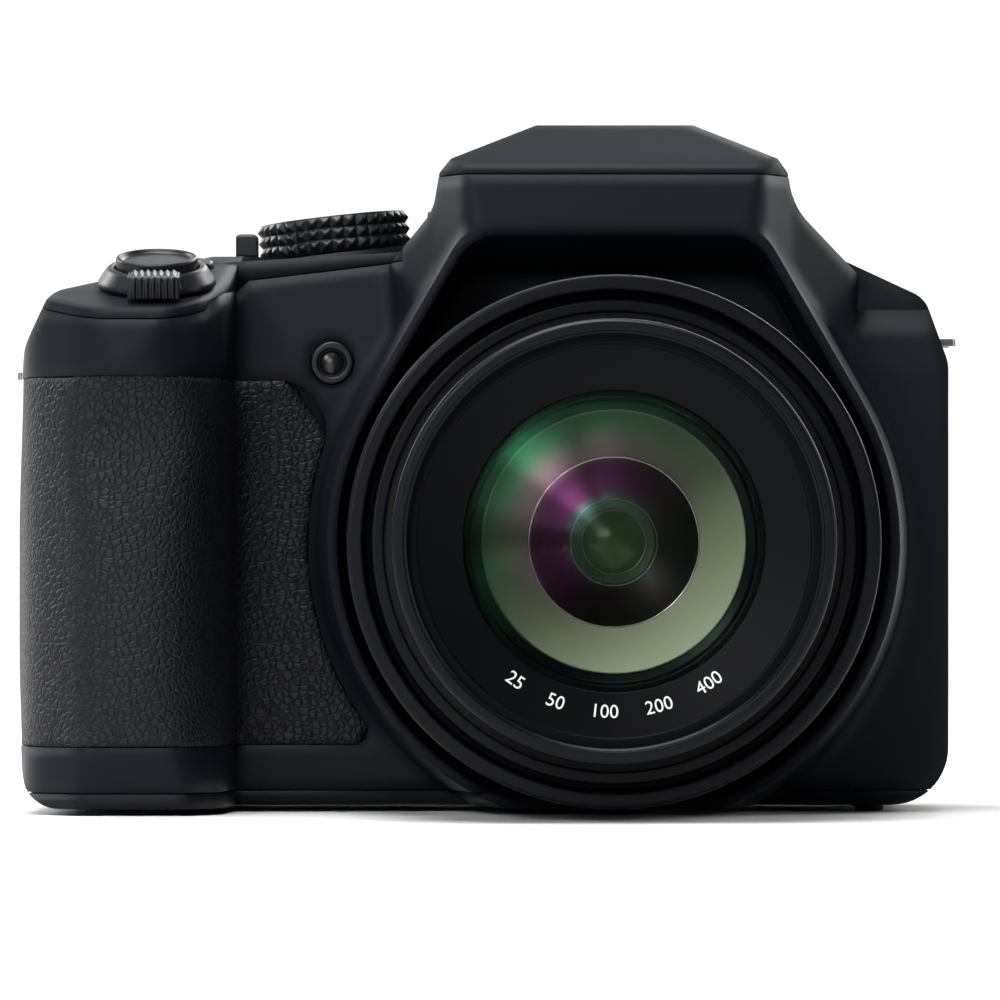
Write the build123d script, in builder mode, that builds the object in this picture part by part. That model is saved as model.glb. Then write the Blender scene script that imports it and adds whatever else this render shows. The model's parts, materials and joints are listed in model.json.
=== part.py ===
from build123d import *
from math import atan2, cos, pi, radians, sin, tan
import os

# Bridge camera with a long retracting zoom lens, in millimetres.
# +X is to the right as the front is seen, +Y goes to the back, +Z is up.
# The origin is the mouth of the tripod socket, straight under the lens axis.

# Driving sizes of the body: how far each form reaches from the origin
body_left = 80.4
body_right = 46.2
body_front = 18.0
body_back = 26.0
plate_height = 76.0
hump_left = 31.0
hump_right = 34.0
hump_front = 38.4
hump_stand_back = 4.0
hump_back = body_back + hump_stand_back
hump_rise = 17.4
hump_height = plate_height + hump_rise
grip_stand = 1.8
grip_left = body_left + grip_stand
grip_front = 44.8
grip_back = 24.0
wall = 1.8
edge_round = 10.0
seam = 0.2
reach = 130.0

# Lens driving sizes
axis_height = 36.0
lens_length = 81.2
fixed_front = 66.0
fixed_radius = 35.4
neck_step = 1.5
neck_radius = fixed_radius - neck_step
running_gap = 0.25

# Collar round the lens, which rises into the brow under the flash
collar_front = 38.0
collar_room = 3.4
collar_radius = fixed_radius + collar_room
collar_spread = 2.2
collar_root_radius = collar_radius + collar_spread
collar_rim = 1.2
collar_drop = 14.3
collar_top = hump_height - collar_drop
collar_root_drop = 8.9
collar_root_top = hump_height - collar_root_drop
collar_corner = 6.5
tangent_angle = 30.0
well_room = 1.0
well_root_radius = fixed_radius + well_room
well_head_room = 2.0
well_root_top = axis_height + fixed_radius + well_head_room
well_floor = 1.3

# Where the covers part
base_split = 2.0
top_band = 10.0
top_split = plate_height - top_band
side_split = 6.0
brow_split = 16.0
lip_inner = 29.0
lid_depth = 7.2
lid_bottom = hump_height - lid_depth
lid_hinge_y = 1.0
lid_hinge_drop = 1.3

# Outline tables, as shares of how far the form reaches on that side, and corner shares of edge_round
block_front_shares = [(-1, 0), (1, 0), (1, 0.803), (0.931, 0.921), (0.693, 0.989), (0, 1.026),
                      (-0.373, 1.005), (-0.659, 0.987), (-0.945, 0.924), (-1, 0.816)]
block_front_round_shares = [0.6, 0.8, 0.6, 0.4, 0.3, 0.3, 0.3, 0.8, 0.3, 0.6]
block_side_shares = [(-1, 0), (1, 0), (1, 0.829), (0.865, 1.079), (-0.733, 1.079), (-1, 0.792)]
block_side_round_shares = [0.2, 0.4, 1.0, 0.3, 0.3, 0.6]
block_plan_shares = [(-1, -1), (1, -1), (1, 1), (-1, 1)]
block_plan_round_shares = [0.3, 0.6, 0.7, 0.7]

hump_front_shares = [(-0.342, 1), (0.321, 1), (0.659, 0.946), (0.700, 0.927), (0.726, 0.878), (1, 0.782),
                     (1, 0.642), (-1, 0.642), (-1, 0.798), (-0.797, 0.873), (-0.768, 0.927), (-0.716, 0.946)]
hump_front_round_shares = [0.1, 0.1, 0.1, 0.1, 0.9, 0.1, 0.1, 0.1, 0.1, 0.6, 0.1, 0.1]
hump_side_shares = [(-0.990, 0.610), (-1, 0.846), (-0.979, 0.921), (-0.633, 1.002), (0.267, 1.002),
                    (0.867, 0.958), (1, 0.899), (1, 0.707), (0.6, 0.610)]
hump_side_round_shares = [0.1, 0.3, 0.1, 0.1, 0.5, 0.3, 0.3, 0.3, 0.2]
hump_plan_shares = [(-0.639, -1.005), (0.582, -1.005), (0.724, -0.729), (1, -0.417), (1, 0.867),
                    (0.618, 0.867), (0.618, 1.033), (-0.677, 1.033), (-0.677, 0.867), (-1, 0.867),
                    (-1, -0.417), (-0.794, -0.729)]
hump_plan_round_shares = [0.4, 0.4, 0.2, 0.4, 0.1, 0.1, 0.3, 0.3, 0.1, 0.1, 0.4, 0.2]

grip_front_shares = [(-0.981, 0), (-1, 0.237), (-1, 0.526), (-0.981, 0.816), (-0.927, 0.926),
                     (-0.608, 1.020), (-0.535, 1.020), (-0.535, 0)]
grip_front_round_shares = [0.6, 3.0, 3.0, 0.8, 0.3, 0.1, 0.1, 0.1]
grip_side_shares = [(-0.926, -0.04), (-0.991, 0.184), (-0.978, 0.526), (-0.924, 0.691), (-1, 0.789),
                    (-0.980, 0.888), (-0.223, 1.0), (0.917, 1.0), (0.917, -0.04)]
grip_side_round_shares = [0.3, 2.0, 2.5, 0.4, 0.4, 0.15, 0.3, 0.1, 0.1]
grip_plan_shares = [(-0.978, 1.0), (-1, -0.357), (-0.971, -0.781), (-0.852, -1.0), (-0.708, -0.991),
                    (-0.647, -0.759), (-0.628, -0.223), (-0.560, -0.134), (-0.560, 0), (-0.730, 1.0)]
grip_plan_round_shares = [0.3, 1.4, 1.3, 1.2, 1.0, 1.0, 0.3, 0.1, 0.1, 0.1]

# The top cover's lower edge: over the grip and the front as shares of body_left and plate_height, and
# along the grip's side as shares of grip_front and plate_height
lip_front_shares = [(-0.709, 0.816), (-0.684, 0.903), (-0.626, 0.955), (-0.498, 0.971), (-0.361, 0.989)]
lip_side_shares = [(-1.116, 0.855), (-0.759, 0.903)]


def outline(shares, low, high, top_low, top_high):
    """Points of an outline from shares of its reach below and above zero, along both directions."""
    return [(u * (high if u > 0 else low), v * (top_high if v > 0 else top_low)) for u, v in shares]


def three_view(front, side, plan, inset):
    """What is common to three outlines, each carried straight through the body and drawn in by inset."""
    with BuildPart() as solid:
        for plane, (points, round_shares), mode in zip(
            (Plane.XZ, Plane.YZ, Plane.XY), (front, side, plan), (Mode.ADD, Mode.INTERSECT, Mode.INTERSECT)
        ):
            with BuildSketch(plane.offset(-reach)):
                with BuildLine():
                    FilletPolyline(*points, radius=[share * edge_round for share in round_shares], close=True)
                make_face()
                if inset:
                    offset(amount=-inset, kind=Kind.INTERSECTION)
            extrude(amount=2 * reach, dir=plane.z_dir, mode=mode)
    return solid.part


def form(inset):
    """The body's outer form drawn in by inset: the block, the viewfinder hump and the grip as one solid."""
    heights = (plate_height, plate_height)
    block = three_view(
        (outline(block_front_shares, body_left, body_right, *heights), block_front_round_shares),
        (outline(block_side_shares, body_front, body_back, *heights), block_side_round_shares),
        (outline(block_plan_shares, body_left, body_right, body_front, body_back), block_plan_round_shares),
        inset,
    )
    hump = three_view(
        (outline(hump_front_shares, hump_left, hump_right, hump_height, hump_height),
         hump_front_round_shares),
        (outline(hump_side_shares, hump_front, hump_back, hump_height, hump_height), hump_side_round_shares),
        (outline(hump_plan_shares, hump_left, hump_right, hump_front, hump_back), hump_plan_round_shares),
        inset,
    )
    grip = three_view(
        (outline(grip_front_shares, grip_left, grip_left, *heights), grip_front_round_shares),
        (outline(grip_side_shares, grip_front, grip_back, *heights), grip_side_round_shares),
        (outline(grip_plan_shares, grip_left, grip_left, grip_front, grip_back), grip_plan_round_shares),
        inset,
    )
    return block + hump + grip


def collar_face(y, radius, top, corner):
    """A circle round the lens axis with two leaning tangents that rise to a flat top."""
    tangent_x = radius * cos(radians(tangent_angle))
    tangent_z = axis_height + radius * sin(radians(tangent_angle))
    top_x = tangent_x - (top - tangent_z) * tan(radians(tangent_angle))
    with BuildSketch(Plane.XZ.offset(-y)) as face:
        with BuildLine():
            CenterArc((0, axis_height), radius, 180 - tangent_angle, 180 + 2 * tangent_angle)
            FilletPolyline((tangent_x, tangent_z), (top_x, top), (-top_x, top), (-tangent_x, tangent_z),
                           radius=corner)
        make_face()
    return face.sketch.face()


def collar(front_y, front_radius, front_top, back_y, back_radius, back_top):
    """The space between two collar faces, ruled from one to the other."""
    with BuildPart() as solid:
        loft([collar_face(front_y, front_radius, front_top, collar_corner),
              collar_face(back_y, back_radius, back_top, collar_corner)], ruled=True)
    return solid.part


def cuboid(low, high):
    """A box between its lowest and its highest corner."""
    with BuildPart() as solid:
        with Locations(low):
            Box(high[0] - low[0], high[1] - low[1], high[2] - low[2], align=(Align.MIN, Align.MIN, Align.MIN))
    return solid.part


def save(piece, label):
    """Name a finished piece and write it."""
    piece.label = label
    export_step(piece, f"parts/{label}.step")


os.makedirs("parts", exist_ok=True)

# Body shell: the outer form and the collar, hollowed by the inner form
outer_form = form(0)
inner_form = form(wall)
hood = collar(-collar_front, collar_radius, collar_top, -brow_split, collar_root_radius, collar_root_top)
hood_core = collar(-collar_front, collar_radius, collar_top, -brow_split, well_root_radius + wall,
                   well_root_top + wall)
well = collar(-hump_front - seam, collar_radius - collar_rim, collar_top - collar_rim,
              -body_front, well_root_radius, well_root_top)
above_base = cuboid((-reach, -reach, 0), (reach, reach, reach))
above_well_floor = cuboid((-reach, -reach, well_floor), (reach, reach, reach))

with BuildPart() as solid_body:
    add(hood)
    add(above_base, mode=Mode.INTERSECT)
    add(outer_form)

with BuildPart() as lens_well:
    add(well)
    add(above_well_floor, mode=Mode.INTERSECT)

with BuildPart() as cavity:
    add(inner_form)
    add(hood_core, mode=Mode.SUBTRACT)

hole_radius = neck_radius + running_gap
with BuildPart() as shell:
    add(solid_body.part)
    add(lens_well.part, mode=Mode.SUBTRACT)
    add(cavity.part, mode=Mode.SUBTRACT)
    with BuildSketch(Plane.XZ.offset(brow_split - wall)):
        with Locations((0, axis_height)):
            Circle(hole_radius)
    extrude(amount=hump_front, mode=Mode.SUBTRACT)


def prism(plane, points):
    """A straight bar through the whole body with the given outline."""
    with BuildPart() as solid:
        with BuildSketch(plane.offset(-reach)):
            with BuildLine():
                Polyline(*points, close=True)
            make_face()
        extrude(amount=2 * reach, dir=plane.z_dir)
    return solid.part


def top_zone(gap):
    """Where the top cover lies, grown downwards and forwards by gap."""
    front_line = [(u * body_left, v * plate_height - gap) for u, v in lip_front_shares]
    side_line = [(u * grip_front, v * plate_height - gap) for u, v in lip_side_shares]
    from_front = prism(Plane.XZ, [(-reach, front_line[0][1]), *front_line, (front_line[-1][0], reach),
                                  (-reach, reach)])
    from_side = prism(Plane.YZ, [*side_line, (reach, side_line[-1][1]), (reach, reach),
                                 (side_line[0][0], reach)])
    behind_brow = cuboid((-lip_inner - gap, -brow_split - gap, top_split - gap), (reach, reach, reach))
    with BuildPart() as zone:
        add(from_front)
        add(from_side, mode=Mode.INTERSECT)
        add(behind_brow)
    return zone.part


def lid_zone(gap):
    """Where the pop-up flash lid lies, grown by gap."""
    return cuboid((-reach, -reach, lid_bottom - gap), (reach, lid_hinge_y + gap, reach))


# Small sizes that many pieces share
press_travel = 0.5
button_gap = 0.15
button_stand = 0.8
button_flange = 0.7
button_flange_height = 0.8
overrun = 20.0

# Rear controls: places on the back wall, and radii
lcd_middle = 3.0
lcd_height_middle = 33.5
lcd_width = 70.0
lcd_height = 53.0
lcd_window_thickness = 1.2
lcd_window_stand = 0.4
lcd_frame = 2.5
lcd_panel_thickness = 3.0
lcd_panel_margin = 0.5
round_button_radius = 2.9
viewfinder_button_place = (-42.0, 55.0)
playback_button_place = (-42.0, 45.5)
display_button_place = (-42.5, 12.2)
cursor_place = (-54.0, 26.5)
cursor_radius = 9.2
menu_radius = 3.8
rear_dial_inset = 15.4
rear_dial_depth = 8.4
rear_dial_place = (-body_left + rear_dial_inset, body_back - rear_dial_depth)
thumb_drop = 18.0
thumb_middle = (-body_left + rear_dial_inset, top_split - thumb_drop)
thumb_width = 14.5
thumb_height = 22.0
thumb_thickness = 2.2
thumb_corner = 4.0
rear_dial_radius = 9.4
rear_dial_drop = 3.2
rear_dial_bottom = top_split - rear_dial_drop
rear_dial_height = 3.6
rear_dial_axle = 1.5
shaft_gap = 0.05
dial_gap = 0.3

# Battery, memory card and their door in the grip
battery_inset = 6.6
battery_left = body_left - battery_inset
battery_width = 17.6
battery_setback = 15.3
battery_front = grip_front - battery_setback
battery_depth = 32.0
battery_bottom = 2.2
battery_height = 40.0
bay_wall = 0.8
bay_gap = 0.2
card_inset = 6.4
card_left = body_left - card_inset
card_width = 24.0
card_thickness = 2.1
card_height = 32.0
card_gap = 1.8
card_y = battery_depth - battery_front + card_gap
door_gap = 0.25
door_thickness = 1.6
door_margin = 0.5
door_left = battery_left + door_margin
card_margin = 0.4
door_right = card_left - card_width - card_margin
neck_margin = 1.7
door_neck_right = battery_left - battery_width - neck_margin
door_front_margin = 0.8
door_front = battery_front + door_front_margin
neck_setback = 13.3
door_neck_y = door_front - neck_setback
door_slant = 4.0
door_back_margin = 3.6
door_back = card_y + card_thickness + door_back_margin
door_corner = 2.0
door_pin_radius = 0.45
door_pin_length = 1.4
latch_length = 5.0
latch_width = 4.0
latch_travel = 3.0
latch_thickness = 1.2
latch_inset = 4.3
latch_setback = 5.3
latch_place = (-door_left + latch_inset, -door_front + latch_setback)
latch_lift = 0.2

# Terminal cover on the grip's side
terminal_front_y = 6.8
terminal_back_y = 20.0
terminal_bottom = 26.0
terminal_top = 50.0
terminal_gap = 0.3
terminal_hinge_inset = 0.75
terminal_hinge_gap = 0.6
terminal_hinge_depth = 0.7
terminal_hinge_x = body_left - terminal_hinge_depth
terminal_pin_radius = 0.45
terminal_pin_length = 1.2

# Tripod bush, feet and base screws
bush_radius = 5.2
bush_height = 6.3
thread_radius = 2.6
thread_depth = 5.5
foot_radius = 2.0
foot_height = 0.9
foot_inset = 18.4
foot_right_inset = 10.7
foot_setback = 8.0
grip_foot_setback = 8.3
middle_foot = (0.4, -33.0)
foot_places = [(-body_left + foot_inset, -grip_front + grip_foot_setback), middle_foot,
               (body_right - foot_right_inset, -body_front + foot_setback),
               (-body_left + foot_inset, body_back - foot_setback),
               (body_right - foot_right_inset, body_back - foot_setback)]
screw_radius = 1.0
screw_head_radius = 2.0
screw_head_height = 1.0
screw_length = 7.0
screw_gap = 0.05
screw_left = 45.0
screw_inset = 12.0
screw_setback = 4.2
screw_places = [(x, y) for y in (-body_front + screw_setback, body_back - screw_setback)
                for x in (-screw_left, body_right - screw_inset)]
post_radius = 2.6
post_top = 8.0
screw_head_gap = 0.15

# Lamp, lugs, grip cover and speaker holes
lamp_place = (-38.8, 61.0)
lamp_radius = 2.9
lamp_dome_radius = 1.9
lamp_depth = 3.0
lamp_stand = 0.3
lug_thickness = 1.0
lug_width = 9.0
lug_slot_length = 5.6
lug_slot_width = 1.3
lug_rim = 0.8
lug_head = 2.0
lug_head_depth = 1.5
lug_gap = 0.05
lug_stand_right = 1.6
lug_tip_right = body_right + lug_stand_right
lug_stand_left = 2.7
lug_tip_left = body_left + lug_stand_left
lug_drop_right = 1.8
lug_height_right = top_split - lug_drop_right
lug_drop_left = 6.5
lug_height_left = top_split - lug_drop_left
lug_root_depth_right = 5.0
lug_root_right = body_right - lug_root_depth_right
lug_root_depth_left = 3.2
lug_root_left = body_left - lug_root_depth_left
grip_cover_thickness = 1.0
grip_cover_bottom = 8.3
grip_cover_top = 58.6
grip_cover_radius = 42.1
grip_cover_corner = 7.0
grip_cover_low_corner = 2.0
grip_cover_back = 4.0
grip_cover_right = 25.0

# Top plate controls. The grip's top leans forward, and the mode dial leans outward
shutter_inset = 18.1
shutter_setback = 14.8
shutter_place = (-body_left + shutter_inset, -grip_front + shutter_setback)
shutter_radius = 5.6
shutter_thickness = 3.0
shutter_lift = 1.3
shutter_stem_radius = 2.5
shutter_stem_depth = 3.4
stem_gap = 0.15
lever_inner_gap = 0.3
lever_radius = 8.05
lever_lift = 0.35
lever_height = 2.6
lever_tab_reach = 10.9
lever_tab_width = 7.0
lever_tab_height = 3.6
lever_ribs = 7
rib_depth = 0.4
video_inset = 22.6
video_setback = 28.0
video_place = (-body_left + video_inset, -grip_front + video_setback)
video_radius = 2.6
dial_left = 38.9
dial_back = 5.0
dial_rise = 0.9
dial_place = (-dial_left, dial_back, plate_height + dial_rise)
dial_lean = 6.5
dial_radius = 10.7
dial_height = 5.0
dial_notches = 40
dial_notch_depth = 0.55
dial_shaft_radius = 3.0
dial_shaft_length = 3.4
plinth_radius = 11.3
plinth_depth = 2.6
power_place = (-51.1, -3.0)
power_width = 3.0
power_length = 5.0
power_stand = 3.3
power_top = plate_height + power_stand
power_lift = 0.2
power_travel = 4.0
power_stem_width = 1.6
power_stem_length = 2.5
power_stem_depth = 4.0
release_y = 1.0
release_drop = 10.0
release_place = (release_y, hump_height - release_drop)
release_length = 6.0
release_height = 2.6
release_face = 25.3
release_depth = 3.4
diopter_depth = 8.5
diopter_drop = 13.8
diopter_place = (hump_back - diopter_depth, hump_height - diopter_drop)
diopter_radius = 4.0
diopter_outer = 26.4
diopter_thickness = 2.6
diopter_pin_radius = 0.8
diopter_pin_length = 2.0
diopter_boss = 2.6
mic_place = (3.6, 14.0)
mic_pitch = 1.6
mic_radius = 0.5

# Viewfinder
evf_half_width = 11.0
evf_bottom_drop = 25.8
evf_bottom = hump_height - evf_bottom_drop
evf_top_drop = 13.0
evf_top = hump_height - evf_top_drop
evf_front = 8.5
evf_wall = 1.0
evf_window_inset = 1.6
evf_lens_thickness = 1.6
eyecup_root_half_width = 20.5
eyecup_root_bottom_drop = 27.0
eyecup_root_bottom = hump_height - eyecup_root_bottom_drop
eyecup_root_top_drop = 10.4
eyecup_root_top = hump_height - eyecup_root_top_drop
eyecup_half_width = 26.3
eyecup_bottom_drop = 30.6
eyecup_bottom = hump_height - eyecup_bottom_drop
eyecup_top_drop = 11.0
eyecup_top = hump_height - eyecup_top_drop
eyecup_flare = 3.6
eyecup_length = 8.0
eyecup_back = hump_back + eyecup_length
eyecup_corner = 5.0
eyecup_taper = 4.0
eyecup_hole_corner = 2.0

# Boards and electronics
board_inset_left = 4.4
board_left = body_left - board_inset_left
board_inset_right = 3.2
board_right = body_right - board_inset_right
board_bottom = 8.4
board_top = 61.5
board_depth = 10.0
board_y = body_back - board_depth
board_thickness = 1.6
board_posts = [(-49.5, 13.5), (41.0, 11.0), (41.0, 59.0), (-53.0, 58.5)]
board_post_radius = 2.0
socket_places = [30.0, 41.5]
socket_width = 8.0
socket_thickness = 4.0
socket_depth = 6.6
socket_inset = 2.1
socket_left = body_left - socket_inset
capacitor_place = (-44.2, 11.3)
capacitor_radius = 4.5
capacitor_bottom = 20.0
capacitor_height = 28.0
speaker_place = (-6.0, 47.0)
speaker_hole_pitch = 2.2
speaker_hole_radius = 0.55

# Pop-up flash
hinge_y = lid_hinge_y
hinge_z = hump_height - lid_hinge_drop
knuckle_radius = 1.3
knuckle_gap = 0.4
knuckle_half = 4.0
knuckle_outer = 9.0
knuckle_web = 2.5
knuckle_side_gap = 0.3
hinge_pin_radius = 0.7
frame_thickness = 1.4
frame_half_width = 18.5
frame_front = 33.0
frame_back = 4.0
frame_tab_half_width = 22.0
frame_tab_length = 10.0
flash_half_width = 11.0
flash_front = 23.5
flash_back = 14.5
flash_lift = 0.1
flash_window_thickness = 1.0
reflector_height = 3.7
reflector_wall = 0.6
tube_radius = 1.0

# Lens pieces
lens_tail = 6.0
barrel_wall = 3.55
barrel_bore = fixed_radius - barrel_wall
pocket_wall = 2.1
pocket_bore = fixed_radius - pocket_wall
pocket_depth = 12.0
neck_front = 39.5
middle_front = 64.0
middle_radius = barrel_bore - running_gap
middle_wall = 1.1
middle_bore = middle_radius - middle_wall
middle_lip_gap = 1.0
middle_lip_radius = pocket_bore - middle_lip_gap
middle_lip_depth = 4.0
felt_depth = 2.0
front_gap = 1.4
front_radius = middle_bore - front_gap
felt_gap = 0.2
felt_radius = front_radius + felt_gap
front_wall = 1.5
front_bore = front_radius - front_wall
front_tail = 16.0
guide_gap = 0.2
guide_radius = middle_bore - guide_gap
guide_depth = 2.0
filter_lip = 0.5
filter_radius = front_bore - filter_lip
filter_depth = 3.0
ring_thickness = 2.4
ring_bore = 19.8
ring_gap = 0.1
ring_slope = 1.6
glass_radius = 19.5
glass_dome = 2.6
glass_shoulder_radius = 21.5
glass_thickness = 5.2
web_thickness = 2.0
web_bore = 20.0
cam_gap = 0.3
cam_radius = front_bore - cam_gap
cam_wall = 1.5
cam_front = 50.0
cam_back = 1.0
gear_inset = 0.3
gear_teeth = 54
gear_module = 2 * (cam_radius - gear_inset) / gear_teeth
gear_width = 4.5
pinion_teeth = 10
pinion_angle = 30.0
tooth_backlash = 0.12
gear_root_share = 1.25
gear_tip_share = 0.85
motor_shaft_radius = 0.75
motor_radius = 4.5
motor_length = 10.0
base_front = 2.0
base_thickness = 3.0
base_hole = 12.0
base_skirt_wall = 1.9
base_skirt_inner = neck_radius - base_skirt_wall
base_boss_gap = 3.3
base_boss_radius = cam_radius - base_boss_gap
base_boss_wall = 0.8
base_boss_depth = 4.0
bush_room = 0.8
rod_radius = 1.0
rod_front = 48.0
rod_gap = 0.06
zoom_cell_back = 16.0
zoom_cell_depth = 6.0
cell_gap = 1.4
zoom_cell_radius = cam_radius - cam_wall - cell_gap
zoom_glass_radius = 14.0
focus_cell_back = 6.0
focus_cell_depth = 4.0
focus_glass_radius = 9.0
glass_bulge = 1.2
rod_inset = 2.4
rod_place = zoom_cell_radius - rod_inset
iris_inset = 2.0
iris_radius = rod_place - iris_inset
iris_bore = 7.0
iris_thickness = 1.6
sensor_width = 12.0
sensor_height = 10.0
sensor_thickness = 2.0
sensor_plate_width = 30.0
sensor_plate_height = 26.0
sensor_plate_thickness = 1.0
sensor_post_radius = 1.2
sensor_gap = 0.6

# Planes that carry several pieces
grip_side_points = outline(grip_side_shares, grip_front, grip_back, plate_height, plate_height)
grip_top_front, grip_top_back = grip_side_points[5:7]
top_slope = (grip_top_back[1] - grip_top_front[1]) / (grip_top_back[0] - grip_top_front[0])
top_lean = atan2(top_slope, 1)


def grip_top_plane(x, y):
    """A plane on the leaning top of the grip, facing out of it."""
    z = grip_top_front[1] + (y - grip_top_front[0]) * top_slope
    return Plane(origin=(x, y, z), x_dir=(1, 0, 0), z_dir=(0, -sin(top_lean), cos(top_lean)))


shutter_plane = grip_top_plane(*shutter_place)
video_plane = grip_top_plane(*video_place)
dial_plane = Plane(origin=dial_place, x_dir=(cos(radians(dial_lean)), 0, sin(radians(dial_lean))),
                   z_dir=(-sin(radians(dial_lean)), 0, cos(radians(dial_lean))))
lens_axis = Axis((0, 0, axis_height), (0, 1, 0))
pinion_distance = gear_module * (gear_teeth + pinion_teeth) / 2
pinion_place = (pinion_distance * cos(radians(pinion_angle)),
                axis_height + pinion_distance * sin(radians(pinion_angle)))


def back_plane(place):
    """A plane on the back wall at a place given as X and Z, facing backwards."""
    return Plane(origin=(place[0], body_back, place[1]), x_dir=(-1, 0, 0), z_dir=(0, 1, 0))


def bar(plane, start, stop, radius):
    """A round bar along a plane's normal, from start to stop."""
    with BuildPart() as solid:
        with BuildSketch(plane.offset(start)):
            Circle(radius)
        extrude(amount=stop - start, dir=plane.z_dir)
    return solid.part


def axis_bar(front, back, radius, place=(0, axis_height)):
    """A round bar along Y between two distances in front of the origin, at a place given as X and Z."""
    return bar(Plane(origin=(place[0], -front, place[1]), x_dir=(-1, 0, 0), z_dir=(0, 1, 0)), 0,
               front - back, radius)


def tube(front, back, outer, inner):
    """A straight tube round the lens axis."""
    with BuildPart() as solid:
        add(axis_bar(front, back, outer))
        add(axis_bar(front, back, inner), mode=Mode.SUBTRACT)
    return solid.part


def side_bar(low, high, y, z, radius):
    """A round bar along X."""
    return bar(Plane(origin=(low, y, z), x_dir=(0, 1, 0), z_dir=(1, 0, 0)), 0, high - low, radius)


def push_button(plane, radius):
    """A round button that stands out of a wall, with a flange behind the wall that keeps it in."""
    flange_top = -wall - press_travel
    with BuildPart() as button:
        with BuildSketch(plane.offset(button_stand)):
            Circle(radius)
        extrude(amount=button_stand - flange_top, dir=-plane.z_dir)
        fillet(button.faces().sort_by(Axis(plane.origin, plane.z_dir))[-1].edges(), button_stand / 2)
        with BuildSketch(plane.offset(flange_top)):
            Circle(radius + button_flange)
        extrude(amount=button_flange_height, dir=-plane.z_dir)
    return button.part


def spin_solid(points):
    """A solid of revolution round the lens axis from points given as radius and Y."""
    with BuildPart() as solid:
        with BuildSketch(Plane.XY.offset(axis_height)):
            with BuildLine():
                Polyline(*points, close=True)
            make_face()
        revolve(axis=lens_axis)
    return solid.part


def lens_glass(front, back, radius, bulge):
    """A lens with both faces domed by bulge, round the lens axis."""
    with BuildPart() as solid:
        with BuildSketch(Plane.XY.offset(axis_height)):
            with BuildLine():
                front_dome = TangentArc((0, -front - bulge), (radius, -front), tangent=(1, 0))
                back_dome = TangentArc((0, -back + bulge), (radius, -back), tangent=(1, 0))
                Line(front_dome @ 1, back_dome @ 1)
                Line(front_dome @ 0, back_dome @ 0)
            make_face()
        revolve(axis=lens_axis)
    return solid.part


def gear_points(teeth, turn):
    """Outline of a gear with straight-sided teeth, thinned by the backlash."""
    pitch_radius = gear_module * teeth / 2
    root = pitch_radius - gear_root_share * gear_module
    tip = pitch_radius + gear_tip_share * gear_module
    half_pitch = pi * gear_module / 4 - tooth_backlash
    lean = tan(radians(20))
    points = []
    for tooth in range(teeth):
        middle = radians(turn) + 2 * pi * tooth / teeth
        for radius, side in ((root, -1), (tip, -1), (tip, 1), (root, 1)):
            half = (half_pitch + (pitch_radius - radius) * lean) / radius
            angle = middle + side * half
            points.append((radius * cos(angle), radius * sin(angle)))
    return points


# Grip cover of rubber, which lies in a seat as deep as it is thick
seat_form = form(grip_cover_thickness)
with BuildPart() as grip_cover_zone:
    with BuildSketch(Plane.XZ.offset(-grip_cover_back)):
        with Locations((-reach, grip_cover_bottom)):
            Rectangle(reach - grip_cover_right, grip_cover_top - grip_cover_bottom,
                      align=(Align.MIN, Align.MIN))
        with Locations((0, axis_height)):
            Circle(grip_cover_radius, mode=Mode.SUBTRACT)
        corners = vertices().sort_by(Axis.X)[-2:].sort_by(Axis.Y)
        fillet(corners[-1], grip_cover_corner)
        fillet(vertices().sort_by(Axis.X)[-1], grip_cover_low_corner)
    extrude(amount=reach, dir=Plane.XZ.z_dir)

with BuildPart() as grip_rubber:
    add(outer_form)
    add(grip_cover_zone.part, mode=Mode.INTERSECT)
    add(seat_form, mode=Mode.SUBTRACT)
save(grip_rubber.part, "grip_rubber")


# Strap lugs: flat metal loops that reach out through the walls
def lug(root, tip, z, out):
    """A flat loop from root to tip with a slot at its tip and a wider head inside the wall."""
    middle = out * (tip - lug_rim - lug_slot_width / 2)
    with BuildPart() as solid:
        with BuildSketch(Plane.XY.offset(z - lug_thickness / 2)):
            with Locations((out * (root + tip) / 2, 0)):
                RectangleRounded(tip - root, lug_width, lug_rim)
            with Locations((out * (root + lug_head_depth / 2), 0)):
                Rectangle(lug_head_depth, lug_width + lug_head)
            with Locations((middle, 0)):
                SlotOverall(lug_slot_length, lug_slot_width, rotation=90, mode=Mode.SUBTRACT)
        extrude(amount=lug_thickness)
    return solid.part


def lug_slot(tip, z, out):
    """The slot in the wall that a lug passes through."""
    near = out * (tip - lug_slot_length)
    far = out * (tip + lug_slot_length)
    half = lug_width / 2 + lug_gap
    return cuboid((min(near, far), -half, z - lug_thickness / 2 - lug_gap),
                  (max(near, far), half, z + lug_thickness / 2 + lug_gap))


lugs = [(lug_root_right, lug_tip_right, lug_height_right, 1),
        (lug_root_left, lug_tip_left, lug_height_left, -1)]
with BuildPart() as strap_lugs:
    for root, tip, z, out in lugs:
        add(lug(root, tip, z, out))
save(strap_lugs.part, "strap_lugs")


# Base screws, their posts and their holes
def at_places(places, low, high, radius):
    """Upright bars of one radius at several places."""
    with BuildPart() as bars:
        with BuildSketch(Plane.XY.offset(low)):
            with Locations(*places):
                Circle(radius)
        extrude(amount=high - low)
    return bars.part


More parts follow.
